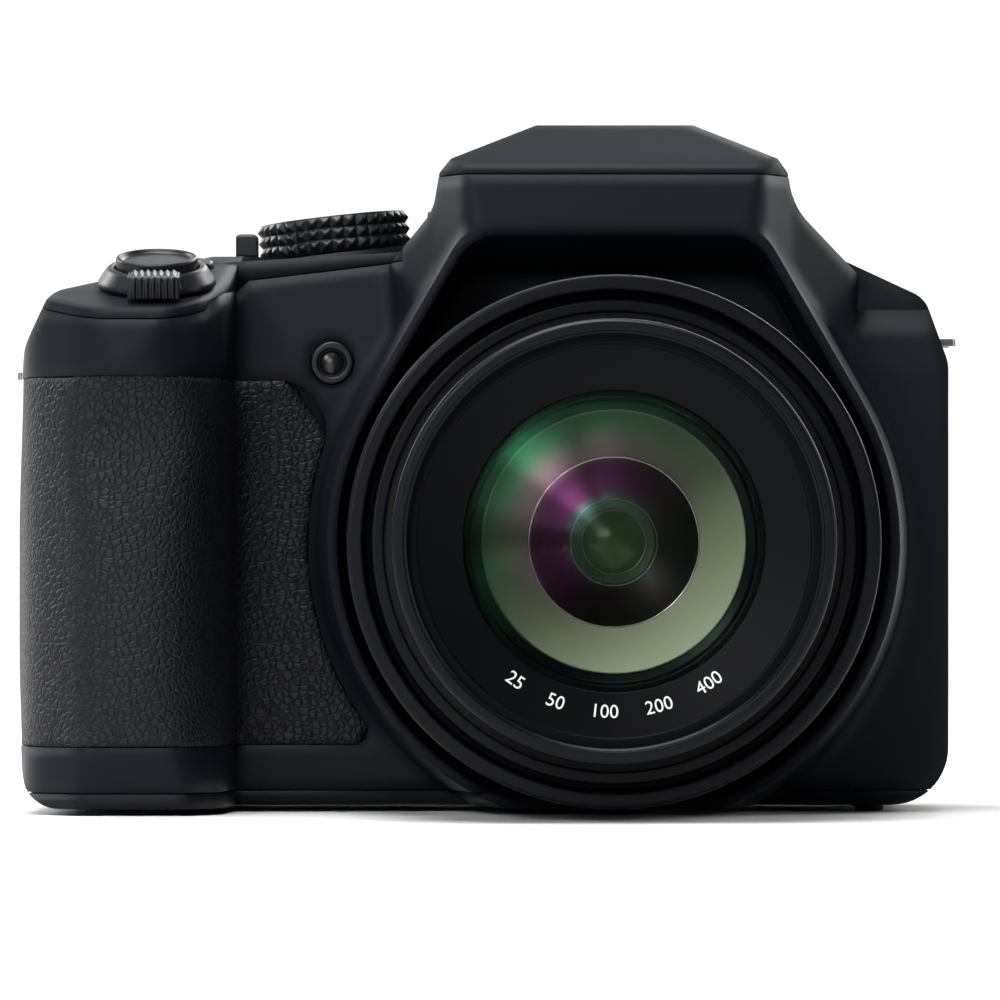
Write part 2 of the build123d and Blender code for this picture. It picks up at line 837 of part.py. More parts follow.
front_screws = [place for place in screw_places if place[1] < side_split]
rear_screws = [place for place in screw_places if place[1] > side_split]
screw_tip = screw_head_height + screw_length
screw_holes = at_places(screw_places, -seam, screw_tip, screw_radius + screw_gap)
with BuildPart() as screws:
    with BuildSketch(Plane.XY):
        with Locations(*screw_places):
            Circle(screw_head_radius)
    extrude(amount=screw_head_height)
    chamfer(faces().sort_by(Axis.Z)[:4].edges(), screw_head_height / 4)
    with BuildSketch(Plane.XY.offset(screw_head_height)):
        with Locations(*screw_places):
            Circle(screw_radius)
    extrude(amount=screw_length - seam)
    with BuildSketch(Plane.XY):
        with Locations(*screw_places):
            Rectangle(screw_head_radius, screw_head_height / 3)
            Rectangle(screw_head_height / 3, screw_head_radius)
    extrude(amount=screw_head_height / 2, mode=Mode.SUBTRACT)
save(screws.part, "screws")

# Front cover
top_zone_grown = top_zone(seam)
lid_zone_grown = lid_zone(seam)
front_zone = cuboid((-reach, -reach, base_split + seam), (reach, side_split, reach))
lamp_hole = axis_bar(body_front + lamp_depth, body_front - 2 * lamp_depth, lamp_radius + button_gap,
                     lamp_place)
front_posts = at_places(front_screws, base_split + seam, post_top, post_radius)
with BuildPart() as speaker_holes:
    with BuildSketch(Plane.YZ.offset(body_right - 2 * wall)):
        with Locations(speaker_place):
            with GridLocations(speaker_hole_pitch, speaker_hole_pitch, 3, 3):
                Circle(speaker_hole_radius)
    extrude(amount=4 * wall)
right_slot = lug_slot(lug_tip_right, lug_height_right, 1)
left_slot = lug_slot(lug_tip_left, lug_height_left, -1)

with BuildPart() as front_cover:
    add(shell.part)
    add(front_zone, mode=Mode.INTERSECT)
    add(top_zone_grown, mode=Mode.SUBTRACT)
    add(lid_zone_grown, mode=Mode.SUBTRACT)
    add(front_posts)
    add(screw_holes, mode=Mode.SUBTRACT)
    add(lamp_hole, mode=Mode.SUBTRACT)
    add(speaker_holes.part, mode=Mode.SUBTRACT)
    add(right_slot, mode=Mode.SUBTRACT)
    add(left_slot, mode=Mode.SUBTRACT)
    add(grip_rubber.part, mode=Mode.SUBTRACT)
save(front_cover.part, "front_cover")

with BuildPart() as focus_lamp:
    add(axis_bar(body_front + lamp_stand, body_front - lamp_depth, lamp_radius, lamp_place))
    add(axis_bar(body_front + lamp_stand, body_front - lamp_depth / 2, lamp_dome_radius, lamp_place),
        mode=Mode.SUBTRACT)
    with Locations((lamp_place[0], -body_front + lamp_depth / 2, lamp_place[1])):
        Sphere(lamp_dome_radius)
save(focus_lamp.part, "focus_lamp")

# Rear cover
rear_zone = cuboid((-reach, side_split + seam, base_split + seam), (reach, reach, reach))
rear_posts = at_places(rear_screws, base_split + seam, post_top, post_radius)
board_back = board_y + board_thickness
board_post_bars = [axis_bar(-board_back, -(body_back - wall / 2), board_post_radius, place)
                   for place in board_posts]
window_low = (lcd_middle - lcd_width / 2, lcd_height_middle - lcd_height / 2)
window_high = (lcd_middle + lcd_width / 2, lcd_height_middle + lcd_height / 2)
window_front = body_back + lcd_window_stand - lcd_window_thickness
window_seat = cuboid((window_low[0] - seam, window_front, window_low[1] - seam),
                     (window_high[0] + seam, reach, window_high[1] + seam))
panel_opening = cuboid((window_low[0] + lcd_frame, body_back - 2 * wall, window_low[1] + lcd_frame),
                       (window_high[0] - lcd_frame, reach, window_high[1] - lcd_frame))
round_buttons = [viewfinder_button_place, playback_button_place, display_button_place]
button_holes = [bar(back_plane(place), -2 * wall, wall, round_button_radius + button_gap)
                for place in round_buttons]
cursor_hole = bar(back_plane(cursor_place), -2 * wall, wall, cursor_radius + button_gap)
terminal_zone = cuboid((-reach, terminal_front_y, terminal_bottom),
                       (-body_left + 2 * wall, terminal_back_y, terminal_top))
terminal_opening = cuboid((-reach, terminal_front_y - terminal_gap, terminal_bottom - terminal_gap),
                          (-body_left + 2 * wall, terminal_back_y + terminal_hinge_gap,
                           terminal_top + terminal_gap))
terminal_hinge_y = terminal_back_y - terminal_hinge_inset
terminal_pin_low = terminal_bottom - terminal_pin_length
terminal_pin_high = terminal_top + terminal_pin_length
terminal_hinge = (-terminal_hinge_x, terminal_hinge_y)
terminal_bores = at_places([terminal_hinge], terminal_pin_low - terminal_gap,
                           terminal_pin_high + terminal_gap, terminal_pin_radius + shaft_gap)
dial_pocket = at_places([rear_dial_place], rear_dial_bottom - dial_gap,
                        rear_dial_bottom + rear_dial_height + dial_gap, rear_dial_radius + dial_gap)

with BuildPart() as rear_cover:
    add(shell.part)
    add(rear_zone, mode=Mode.INTERSECT)
    add(top_zone_grown, mode=Mode.SUBTRACT)
    add(rear_posts)
    for post in board_post_bars:
        add(post)
    add(screw_holes, mode=Mode.SUBTRACT)
    add(window_seat, mode=Mode.SUBTRACT)
    add(panel_opening, mode=Mode.SUBTRACT)
    for hole in button_holes:
        add(hole, mode=Mode.SUBTRACT)
    add(cursor_hole, mode=Mode.SUBTRACT)
    add(terminal_opening, mode=Mode.SUBTRACT)
    add(terminal_bores, mode=Mode.SUBTRACT)
    add(dial_pocket, mode=Mode.SUBTRACT)
save(rear_cover.part, "rear_cover")

with BuildPart() as terminal_cover:
    add(shell.part)
    add(terminal_zone, mode=Mode.INTERSECT)
    add(at_places([terminal_hinge], terminal_pin_low, terminal_pin_high, terminal_pin_radius))
save(terminal_cover.part, "terminal_cover")

# Bottom cover, battery door and its latch
base_zone = cuboid((-reach, -reach, -reach), (reach, reach, base_split))
door_points = [(-door_left, door_back), (-door_right, door_back), (-door_right, -door_neck_y + door_slant),
               (-door_neck_right, -door_neck_y), (-door_neck_right, -door_front), (-door_left, -door_front)]
door_rounds = [door_corner / 8] * 2 + [door_corner] * 4
door_hinge_y = door_back - door_thickness / 2
door_hinge_z = door_thickness / 2
door_pin_left = -door_left - door_pin_length
door_pin_right = -door_right + door_pin_length
with BuildPart() as door_opening:
    with BuildSketch(Plane.XY.offset(-wall)):
        with BuildLine():
            FilletPolyline(*door_points, radius=door_rounds, close=True)
        make_face()
        offset(amount=door_gap, kind=Kind.INTERSECTION)
        with Locations((-(door_left + door_right) / 2, door_back)):
            Rectangle(door_left - door_right + 2 * door_gap, 4 * door_gap)
    extrude(amount=3 * wall)
pin_bore = side_bar(door_pin_left - door_gap, door_pin_right + door_gap, door_hinge_y, door_hinge_z,
                    door_pin_radius + shaft_gap)
head_holes = at_places(screw_places, -seam, screw_head_height, screw_head_radius + screw_head_gap)
bush_hole = at_places([(0, 0)], -seam, 2 * wall, bush_radius)
with BuildPart() as bottom_cover:
    add(shell.part)
    add(base_zone, mode=Mode.INTERSECT)
    add(door_opening.part, mode=Mode.SUBTRACT)
    add(pin_bore, mode=Mode.SUBTRACT)
    add(screw_holes, mode=Mode.SUBTRACT)
    add(head_holes, mode=Mode.SUBTRACT)
    add(bush_hole, mode=Mode.SUBTRACT)
save(bottom_cover.part, "bottom_cover")

latch_x, latch_y = latch_place
latch_window = cuboid((latch_x - latch_length / 2 - door_gap, latch_y - latch_width / 2 - seam, -wall),
                      (latch_x + latch_length / 2 + latch_travel + door_gap, latch_y + latch_width / 2 + seam,
                       wall))
with BuildPart() as battery_door:
    with BuildSketch(Plane.XY):
        with BuildLine():
            FilletPolyline(*door_points, radius=door_rounds, close=True)
        make_face()
    extrude(amount=door_thickness)
    add(side_bar(door_pin_left, door_pin_right, door_hinge_y, door_hinge_z, door_pin_radius))
    add(latch_window, mode=Mode.SUBTRACT)
save(battery_door.part, "battery_door")

with BuildPart() as battery_latch:
    with BuildSketch(Plane.XY.offset(latch_lift)):
        with Locations(latch_place):
            Rectangle(latch_length, latch_width)
    extrude(amount=latch_thickness)
    with BuildSketch(Plane.XY.offset(latch_lift)):
        with Locations(latch_place):
            with GridLocations(latch_length / 5, latch_width, 4, 1):
                Rectangle(latch_length / 10, latch_width / 2)
    extrude(amount=latch_lift, mode=Mode.SUBTRACT)
save(battery_latch.part, "battery_latch")

with BuildPart() as tripod_bush:
    add(at_places([(0, 0)], 0, bush_height, bush_radius))
    add(at_places([(0, 0)], -seam, thread_depth, thread_radius), mode=Mode.SUBTRACT)
save(tripod_bush.part, "tripod_bush")

with BuildPart() as feet:
    with BuildSketch(Plane.XY):
        with Locations(*foot_places):
            Circle(foot_radius)
    extrude(amount=-foot_height)
    fillet(feet.faces().sort_by(Axis.Z)[:len(foot_places)].edges(), foot_height / 2)
save(feet.part, "feet")

# Top cover with the plinth of the mode dial, the flash hinge and the seats of its controls
hinge_half = knuckle_outer + knuckle_side_gap
hinge_clearance = side_bar(-hinge_half, hinge_half, hinge_y, hinge_z, knuckle_radius + knuckle_gap)
hinge_pin_bore = side_bar(-hinge_half, hinge_half, hinge_y, hinge_z, hinge_pin_radius)
lid_swing = side_bar(-hump_left, hump_right, hinge_y, hinge_z, lid_hinge_drop + 2 * seam)
knuckle_inner = knuckle_half + knuckle_side_gap
web_bottom = hump_height - wall
web_back = hinge_y + knuckle_web
top_knuckles = [side_bar(-knuckle_outer, -knuckle_inner, hinge_y, hinge_z, knuckle_radius),
                side_bar(knuckle_inner, knuckle_outer, hinge_y, hinge_z, knuckle_radius),
                cuboid((-knuckle_outer, hinge_y, web_bottom), (-knuckle_inner, web_back, hump_height)),
                cuboid((knuckle_inner, hinge_y, web_bottom), (knuckle_outer, web_back, hump_height))]
plinth = bar(dial_plane, -plinth_depth, -dial_gap, plinth_radius)
dial_room = bar(dial_plane, -dial_gap, dial_height, plinth_radius)
dial_shaft_hole = bar(dial_plane, -dial_shaft_length - dial_gap, dial_height, dial_shaft_radius + shaft_gap)
stem_hole = bar(shutter_plane, -2 * wall, wall, shutter_stem_radius + stem_gap)
video_hole = bar(video_plane, -2 * wall, wall, video_radius + button_gap)
power_x, power_y = power_place
power_slot = cuboid((power_x - power_stem_width / 2 - stem_gap,
                     power_y - power_travel - power_stem_length / 2 - stem_gap, plate_height - 2 * wall),
                    (power_x + power_stem_width / 2 + stem_gap, power_y + power_stem_length / 2 + stem_gap,
                     plate_height + wall))
release_z = release_place[1]
release_hole = cuboid((release_face - release_depth - wall, release_y - release_length / 2 - button_gap,
                       release_z - release_height / 2 - button_gap),
                      (release_face + wall, release_y + release_length / 2 + button_gap,
                       release_z + release_height / 2 + button_gap))
diopter_y, diopter_z = diopter_place
diopter_inner = diopter_outer - diopter_thickness
diopter_pocket = side_bar(-diopter_outer - overrun, -diopter_inner + dial_gap, diopter_y, diopter_z,
                          diopter_radius + dial_gap)
diopter_boss_bar = side_bar(-diopter_inner, -diopter_inner + dial_gap + diopter_boss, diopter_y, diopter_z,
                            diopter_radius)
diopter_bore = side_bar(-diopter_inner - dial_gap, -diopter_inner + diopter_pin_length + dial_gap, diopter_y,
                        diopter_z, diopter_pin_radius + shaft_gap)
window_half = evf_half_width - evf_window_inset
eyepiece_opening = cuboid((-window_half, hump_back - 2 * wall, evf_bottom + evf_window_inset),
                          (window_half, hump_back + wall, evf_top - evf_window_inset))
dial_axle = at_places([rear_dial_place], rear_dial_bottom, top_split + 3 * wall, rear_dial_axle)
with BuildPart() as mic_holes:
    with BuildSketch(Plane.XY.offset(hump_height - 2 * wall)):
        for side in (-1, 1):
            with Locations((side * mic_place[0], mic_place[1])):
                with GridLocations(mic_pitch, mic_pitch, 2, 2):
                    Circle(mic_radius)
    extrude(amount=3 * wall)

with BuildPart() as top_cover:
    add(shell.part)
    add(top_zone(0), mode=Mode.INTERSECT)
    add(lid_zone_grown, mode=Mode.SUBTRACT)
    add(plinth)
    add(lid_swing, mode=Mode.SUBTRACT)
    add(hinge_clearance, mode=Mode.SUBTRACT)
    for knuckle in top_knuckles:
        add(knuckle)
    add(hinge_pin_bore, mode=Mode.SUBTRACT)
    add(diopter_boss_bar)
    add(dial_axle)
    for cut in (dial_room, dial_shaft_hole, stem_hole, video_hole, power_slot, release_hole, diopter_pocket,
                diopter_bore, eyepiece_opening, mic_holes.part):
        add(cut, mode=Mode.SUBTRACT)
save(top_cover.part, "top_cover")

# Pop-up flash: lid, window, reflector, tube, hinge pin and the frame under it
lid_knuckle = side_bar(-knuckle_half, knuckle_half, hinge_y, hinge_z, knuckle_radius)
lid_web = cuboid((-knuckle_half, hinge_y - knuckle_web, web_bottom), (knuckle_half, hinge_y, hump_height))
lid_bore = side_bar(-knuckle_outer, knuckle_outer, hinge_y, hinge_z, hinge_pin_radius + shaft_gap)
with BuildPart() as flash_cover:
    add(shell.part)
    add(lid_zone(0), mode=Mode.INTERSECT)
    add(hinge_clearance, mode=Mode.SUBTRACT)
    add(lid_web)
    add(lid_knuckle)
    add(lid_bore, mode=Mode.SUBTRACT)
save(flash_cover.part, "flash_cover")

flash_bottom = lid_bottom + flash_lift
flash_middle_y = -(flash_front + flash_back) / 2
reflector_bottom = flash_bottom + flash_window_thickness
reflector_top = reflector_bottom + reflector_height
tube_z = (reflector_bottom + reflector_top) / 2
with BuildPart() as flash_window:
    add(cuboid((-flash_half_width, -flash_front, flash_bottom),
               (flash_half_width, -flash_back, reflector_bottom)))
    with BuildSketch(Plane.XY.offset(flash_bottom)):
        with Locations((0, flash_middle_y)):
            with GridLocations(flash_half_width / 6, 0, 11, 1):
                Rectangle(flash_half_width / 24, flash_front - flash_back - 2 * reflector_wall)
    extrude(amount=flash_window_thickness / 3, mode=Mode.SUBTRACT)
save(flash_window.part, "flash_window")

with BuildPart() as flash_reflector:
    add(cuboid((-flash_half_width, -flash_front, reflector_bottom),
               (flash_half_width, -flash_back, reflector_top)))
    with BuildSketch(Plane.YZ.offset(-flash_half_width + reflector_wall)):
        with BuildLine():
            Polyline((-flash_front + reflector_wall, reflector_bottom),
                     (-flash_back - reflector_wall, reflector_bottom),
                     (flash_middle_y + 2 * tube_radius, reflector_top - reflector_wall),
                     (flash_middle_y - 2 * tube_radius, reflector_top - reflector_wall), close=True)
        make_face()
    extrude(amount=2 * (flash_half_width - reflector_wall), mode=Mode.SUBTRACT)
save(flash_reflector.part, "flash_reflector")

inner_half = flash_half_width - reflector_wall
save(side_bar(-inner_half, inner_half, flash_middle_y, tube_z, tube_radius), "flash_tube")
save(side_bar(-knuckle_outer, knuckle_outer, hinge_y, hinge_z, hinge_pin_radius), "flash_hinge_pin")

frame_top = lid_bottom - 2 * seam
with BuildPart() as flash_frame:
    with BuildSketch(Plane.XY.offset(frame_top - frame_thickness)):
        with Locations((0, (frame_back - frame_front) / 2)):
            RectangleRounded(2 * frame_half_width, frame_back + frame_front, wall)
        with Locations((0, -frame_tab_length)):
            Rectangle(2 * frame_tab_half_width, frame_tab_length)
    extrude(amount=frame_thickness)
    with BuildSketch(Plane.XY.offset(frame_top)):
        with Locations((0, flash_middle_y)):
            RectangleRounded(2 * flash_half_width, flash_front - flash_back, wall)
    extrude(amount=-frame_thickness / 2, mode=Mode.SUBTRACT)
save(flash_frame.part, "flash_frame")

with BuildPart() as flash_release:
    add(cuboid((release_face - release_depth, release_y - release_length / 2, release_z - release_height / 2),
               (release_face, release_y + release_length / 2, release_z + release_height / 2)))
    fillet(flash_release.faces().sort_by(Axis.X)[-1].edges(), button_stand / 2)
save(flash_release.part, "flash_release")

# Top controls
with BuildPart() as mode_dial:
    with BuildSketch(dial_plane):
        Circle(dial_radius)
    extrude(amount=dial_height, dir=dial_plane.z_dir)
    dial_top = mode_dial.faces().sort_by(Axis(dial_plane.origin, dial_plane.z_dir))[-1]
    chamfer(dial_top.edges(), dial_notch_depth)
    with BuildSketch(dial_plane):
        with PolarLocations(dial_radius, dial_notches):
            RegularPolygon(dial_notch_depth, 4)
    extrude(amount=dial_height, dir=dial_plane.z_dir, mode=Mode.SUBTRACT)
    with BuildSketch(dial_plane):
        Circle(dial_shaft_radius)
    extrude(amount=dial_shaft_length, dir=-dial_plane.z_dir)
save(mode_dial.part, "mode_dial")

with BuildPart() as shutter_button:
    with BuildSketch(shutter_plane.offset(shutter_lift + shutter_thickness)):
        Circle(shutter_radius)
    extrude(amount=shutter_thickness, dir=-shutter_plane.z_dir)
    shutter_top = shutter_button.faces().sort_by(Axis(shutter_plane.origin, shutter_plane.z_dir))[-1]
    fillet(shutter_top.edges(), shutter_thickness / 4)
    with BuildSketch(shutter_plane.offset(shutter_lift)):
        Circle(shutter_stem_radius)
    extrude(amount=shutter_stem_depth + shutter_lift, dir=-shutter_plane.z_dir)
save(shutter_button.part, "shutter_button")

lever_bore = shutter_radius + lever_inner_gap
with BuildPart() as zoom_lever:
    with BuildSketch(shutter_plane.offset(lever_lift)):
        Circle(lever_radius)
        with Locations((0, -(lever_radius + lever_tab_reach) / 2 + wall / 2)):
            Rectangle(lever_tab_width, lever_tab_reach - lever_radius + wall)
        Circle(lever_bore, mode=Mode.SUBTRACT)
    extrude(amount=lever_height, dir=shutter_plane.z_dir)
    with BuildSketch(shutter_plane.offset(lever_lift + lever_height)):
        with Locations((0, -(lever_radius + lever_tab_reach) / 2)):
            Rectangle(lever_tab_width, lever_tab_reach - lever_radius)
    extrude(amount=lever_tab_height - lever_height, dir=shutter_plane.z_dir)
    with BuildSketch(shutter_plane.offset(lever_lift)):
        with Locations((0, -lever_tab_reach)):
            with GridLocations(lever_tab_width / lever_ribs, 0, lever_ribs - 1, 1):
                Rectangle(lever_tab_width / lever_ribs / 2, 2 * rib_depth)
    extrude(amount=lever_tab_height, dir=shutter_plane.z_dir, mode=Mode.SUBTRACT)
save(zoom_lever.part, "zoom_lever")

save(push_button(video_plane, video_radius), "video_button")
save(push_button(back_plane(viewfinder_button_place), round_button_radius), "viewfinder_button")
save(push_button(back_plane(playback_button_place), round_button_radius), "playback_button")
save(push_button(back_plane(display_button_place), round_button_radius), "display_button")
save(push_button(back_plane(cursor_place), menu_radius), "menu_button")

pad_arrow = cursor_radius / 10
with BuildPart() as cursor_pad:
    add(push_button(back_plane(cursor_place), cursor_radius))
    add(bar(back_plane(cursor_place), -2 * overrun, overrun, menu_radius + button_gap), mode=Mode.SUBTRACT)
    add(bar(back_plane(cursor_place), -2 * overrun, -wall, menu_radius + button_flange + button_gap),
        mode=Mode.SUBTRACT)
    with BuildSketch(back_plane(cursor_place).offset(button_stand)):
        with PolarLocations((cursor_radius + menu_radius) / 2, 4):
            RegularPolygon(pad_arrow, 3)
    extrude(amount=-button_stand / 4, mode=Mode.SUBTRACT)
save(cursor_pad.part, "cursor_pad")

power_bottom = plate_height + power_lift
with BuildPart() as power_switch:
    add(cuboid((power_x - power_width / 2, power_y - power_length / 2, power_bottom),
               (power_x + power_width / 2, power_y + power_length / 2, power_top)))
    fillet(power_switch.faces().sort_by(Axis.Z)[-1].edges(), power_width / 5)
    add(cuboid((power_x - power_stem_width / 2, power_y - power_stem_length / 2,
                power_bottom - power_stem_depth),
               (power_x + power_stem_width / 2, power_y + power_stem_length / 2, power_bottom)))
save(power_switch.part, "power_switch")

with BuildPart() as rear_dial:
    add(at_places([rear_dial_place], rear_dial_bottom, rear_dial_bottom + rear_dial_height, rear_dial_radius))
    add(at_places([rear_dial_place], rear_dial_bottom - seam, rear_dial_bottom + rear_dial_height + seam,
                  rear_dial_axle + shaft_gap), mode=Mode.SUBTRACT)
    with BuildSketch(Plane.XY.offset(rear_dial_bottom)):
        with Locations(rear_dial_place):
            with PolarLocations(rear_dial_radius, dial_notches):
                RegularPolygon(dial_notch_depth, 4)
    extrude(amount=rear_dial_height, mode=Mode.SUBTRACT)
save(rear_dial.part, "rear_dial")

with BuildPart() as diopter_dial:
    add(side_bar(-diopter_outer, -diopter_inner, diopter_y, diopter_z, diopter_radius))
    add(side_bar(-diopter_inner, -diopter_inner + diopter_pin_length, diopter_y, diopter_z,
                 diopter_pin_radius))
    with BuildSketch(Plane.YZ.offset(-diopter_outer)):
        with Locations(diopter_place):
            with PolarLocations(diopter_radius, dial_notches // 2):
                RegularPolygon(dial_notch_depth / 2, 4)
    extrude(amount=diopter_thickness, mode=Mode.SUBTRACT)
save(diopter_dial.part, "diopter_dial")

# Viewfinder: optical tube, its lens and display, and the rubber eyecup
with BuildPart() as evf_tube:
    add(cuboid((-evf_half_width, evf_front, evf_bottom), (evf_half_width, hump_back - wall, evf_top)))
    add(cuboid((-evf_half_width + evf_wall, evf_front + evf_wall, evf_bottom + evf_wall),
               (evf_half_width - evf_wall, hump_back, evf_top - evf_wall)), mode=Mode.SUBTRACT)
save(evf_tube.part, "evf_tube")
evf_inside = evf_wall + ring_gap
lens_back_y = hump_back - wall - ring_gap
with BuildPart() as evf_lens:
    add(cuboid((-evf_half_width + evf_inside, lens_back_y - evf_lens_thickness, evf_bottom + evf_inside),
               (evf_half_width - evf_inside, lens_back_y, evf_top - evf_inside)))
    fillet(evf_lens.faces().sort_by(Axis.Y)[-1].edges(), evf_lens_thickness / 3)
save(evf_lens.part, "evf_lens")


def cup_section(y, half_width, bottom, top, corner):
    """A rounded rectangle that faces backwards."""
    with BuildSketch(Plane.XZ.offset(-y)) as section:
        with Locations((0, (bottom + top) / 2)):
            RectangleRounded(2 * half_width, top - bottom, corner)
    return section.sketch.face()


cup_root = cup_section(hump_back, eyecup_root_half_width, eyecup_root_bottom, eyecup_root_top, eyecup_corner)
cup_middle = cup_section(hump_back + eyecup_flare, eyecup_half_width, eyecup_bottom, eyecup_top,
                         eyecup_corner)
with BuildPart() as evf_eyecup:
    loft([cup_root, cup_middle], ruled=True)
    extrude(cup_middle, amount=eyecup_back - hump_back - eyecup_flare, dir=(0, 1, 0))
    fillet(evf_eyecup.faces().sort_by(Axis.Y)[-1].edges(), wall / 2)
    with BuildSketch(Plane.XZ.offset(-hump_back)):
        with Locations((0, (evf_bottom + evf_top) / 2)):
            RectangleRounded(2 * evf_half_width, evf_top - evf_bottom, eyecup_hole_corner)
    extrude(amount=-eyecup_back, taper=-eyecup_taper, mode=Mode.SUBTRACT)
save(evf_eyecup.part, "evf_eyecup")

# Display on the back, thumb rest
with BuildPart() as lcd_window:
    with BuildSketch(Plane.XZ.offset(-window_front)):
        with Locations((lcd_middle, lcd_height_middle)):
            Rectangle(lcd_width, lcd_height)
    extrude(amount=-lcd_window_thickness)
    chamfer(lcd_window.faces().sort_by(Axis.Y)[-1].edges(), lcd_window_stand / 2)
save(lcd_window.part, "lcd_window")
panel_inset = lcd_frame + lcd_panel_margin
save(cuboid((window_low[0] + panel_inset, window_front - lcd_panel_thickness, window_low[1] + panel_inset),
            (window_high[0] - panel_inset, window_front, window_high[1] - panel_inset)), "lcd_panel")

with BuildPart() as thumb_rest:
    with BuildSketch(Plane.XZ.offset(-body_back)):
        with Locations(thumb_middle):
            RectangleRounded(thumb_width, thumb_height, thumb_corner)
    extrude(amount=-thumb_thickness)
    fillet(thumb_rest.faces().sort_by(Axis.Y)[-1].edges(), thumb_thickness / 2)
save(thumb_rest.part, "thumb_rest")

# Battery, card and the bay that holds them
bay_margin = bay_wall + bay_gap
battery_low = (-battery_left, -battery_front, battery_bottom)
battery_high = (-battery_left + battery_width, -battery_front + battery_depth,
                battery_bottom + battery_height)
card_low = (-card_left, card_y, battery_bottom)
card_high = (-card_left + card_width, card_y + card_thickness, battery_bottom + card_height)


def grown(low, high, margin, bottom):
    """A box drawn out by a margin on its sides and top, and down to bottom."""
    return cuboid((low[0] - margin, low[1] - margin, bottom),
                  (high[0] + margin, high[1] + margin, high[2] + margin))


with BuildPart() as battery_bay:
    add(grown(battery_low, battery_high, bay_margin, wall))
    add(grown(card_low, card_high, bay_margin, wall))
    add(grown(battery_low, battery_high, bay_gap, 0), mode=Mode.SUBTRACT)
    add(grown(card_low, card_high, bay_gap, 0), mode=Mode.SUBTRACT)
save(battery_bay.part, "battery_bay")

with BuildPart() as battery:
    add(cuboid(battery_low, battery_high))
    fillet(battery.edges().filter_by(Axis.Z), bay_wall)
save(battery.part, "battery")

with BuildPart() as memory_card:
    add(cuboid(card_low, card_high))
    chamfer(memory_card.edges().filter_by(Axis.Y).sort_by(Axis.Z)[-1], card_thickness)
save(memory_card.part, "memory_card")

# Boards and electronics
with BuildPart() as main_board:
    add(cuboid((-board_left, board_y, board_bottom), (board_right, board_back, board_top)))
    chip = (board_top - board_bottom) / 4
    with BuildSketch(Plane.XZ.offset(-board_y)):
        with Locations((board_right - chip, board_bottom + chip)):
            Rectangle(chip, chip)
    extrude(amount=board_thickness)
save(main_board.part, "main_board")

with BuildPart() as terminal_sockets:
    for z in socket_places:
        add(cuboid((-socket_left, board_y - socket_depth, z),
                   (-socket_left + socket_width, board_y, z + socket_thickness)))
        inset = socket_thickness / 4
        add(cuboid((-socket_left - inset, board_y - socket_depth + inset, z + inset),
                   (-socket_left + socket_width / 2, board_y - inset, z + socket_thickness - inset)),
            mode=Mode.SUBTRACT)
save(terminal_sockets.part, "terminal_sockets")

save(at_places([capacitor_place], capacitor_bottom, capacitor_bottom + capacitor_height, capacitor_radius),
     "flash_capacitor")

# Lens: fixed barrel, base with the gear's boss, and the two telescoping barrels
edge = seam * 2
with BuildPart() as fixed_barrel:
    add(axis_bar(fixed_front, neck_front, fixed_radius))
    chamfer(fixed_barrel.edges().filter_by(GeomType.CIRCLE), edge)
    add(axis_bar(neck_front, lens_tail, neck_radius))
    add(axis_bar(fixed_front, lens_tail, barrel_bore), mode=Mode.SUBTRACT)
    add(axis_bar(fixed_front, fixed_front - pocket_depth, pocket_bore), mode=Mode.SUBTRACT)
save(fixed_barrel.part, "fixed_barrel")

pinion_room = axis_bar(lens_tail, -base_front, (pinion_teeth / 2 + 1) * gear_module + bush_room, pinion_place)
shaft_hole = axis_bar(lens_tail, -base_front - base_thickness, 2 * motor_shaft_radius, pinion_place)
bush_clear = bush_radius + bush_room
base_back = base_front + base_thickness
bush_notch = cuboid((-bush_clear, -bush_clear - lens_tail, -wall),
                    (bush_clear, bush_clear, bush_height + bush_room))
sensor_back = base_back + sensor_gap + sensor_thickness
with BuildPart() as lens_base:
    add(axis_bar(lens_tail, -base_back, neck_radius))
    add(axis_bar(lens_tail, -base_front, base_skirt_inner), mode=Mode.SUBTRACT)
    add(tube(-base_front + base_boss_depth, -base_front, base_boss_radius, base_boss_radius - base_boss_wall))
    add(axis_bar(lens_tail, -base_back, base_hole), mode=Mode.SUBTRACT)
    add(pinion_room, mode=Mode.SUBTRACT)
    add(shaft_hole, mode=Mode.SUBTRACT)
    add(bush_notch, mode=Mode.SUBTRACT)
    with BuildSketch(Plane.XZ.offset(-base_back)):
        with Locations((0, axis_height)):
            with GridLocations(2 * sensor_width, 2 * sensor_height, 2, 2):
                Circle(sensor_post_radius)
    extrude(amount=-(sensor_back - base_back))
save(lens_base.part, "lens_base")

with BuildPart() as middle_barrel:
    add(axis_bar(middle_front, lens_tail, middle_radius))
    add(axis_bar(middle_front, middle_front - middle_lip_depth, middle_lip_radius))
    add(axis_bar(middle_front - felt_depth, lens_tail, middle_bore), mode=Mode.SUBTRACT)
    add(axis_bar(middle_front, middle_front - felt_depth, felt_radius), mode=Mode.SUBTRACT)
save(middle_barrel.part, "middle_barrel")

filter_bottom = lens_length - filter_depth
ring_back = filter_bottom - ring_thickness - 2 * ring_gap
glass_shoulder = ring_back - ring_gap
web_front = glass_shoulder - glass_thickness
with BuildPart() as front_barrel:
    add(axis_bar(lens_length, front_tail, front_radius))
    chamfer(front_barrel.edges().filter_by(GeomType.CIRCLE).sort_by(Axis.Y)[0], edge)
    add(axis_bar(front_tail + guide_depth, front_tail, guide_radius))
    add(axis_bar(lens_length, filter_bottom, filter_radius), mode=Mode.SUBTRACT)
    add(axis_bar(filter_bottom, web_front, front_bore), mode=Mode.SUBTRACT)
    add(axis_bar(web_front, web_front - web_thickness, web_bore), mode=Mode.SUBTRACT)
    add(axis_bar(web_front - web_thickness, front_tail, front_bore), mode=Mode.SUBTRACT)
save(front_barrel.part, "front_barrel")

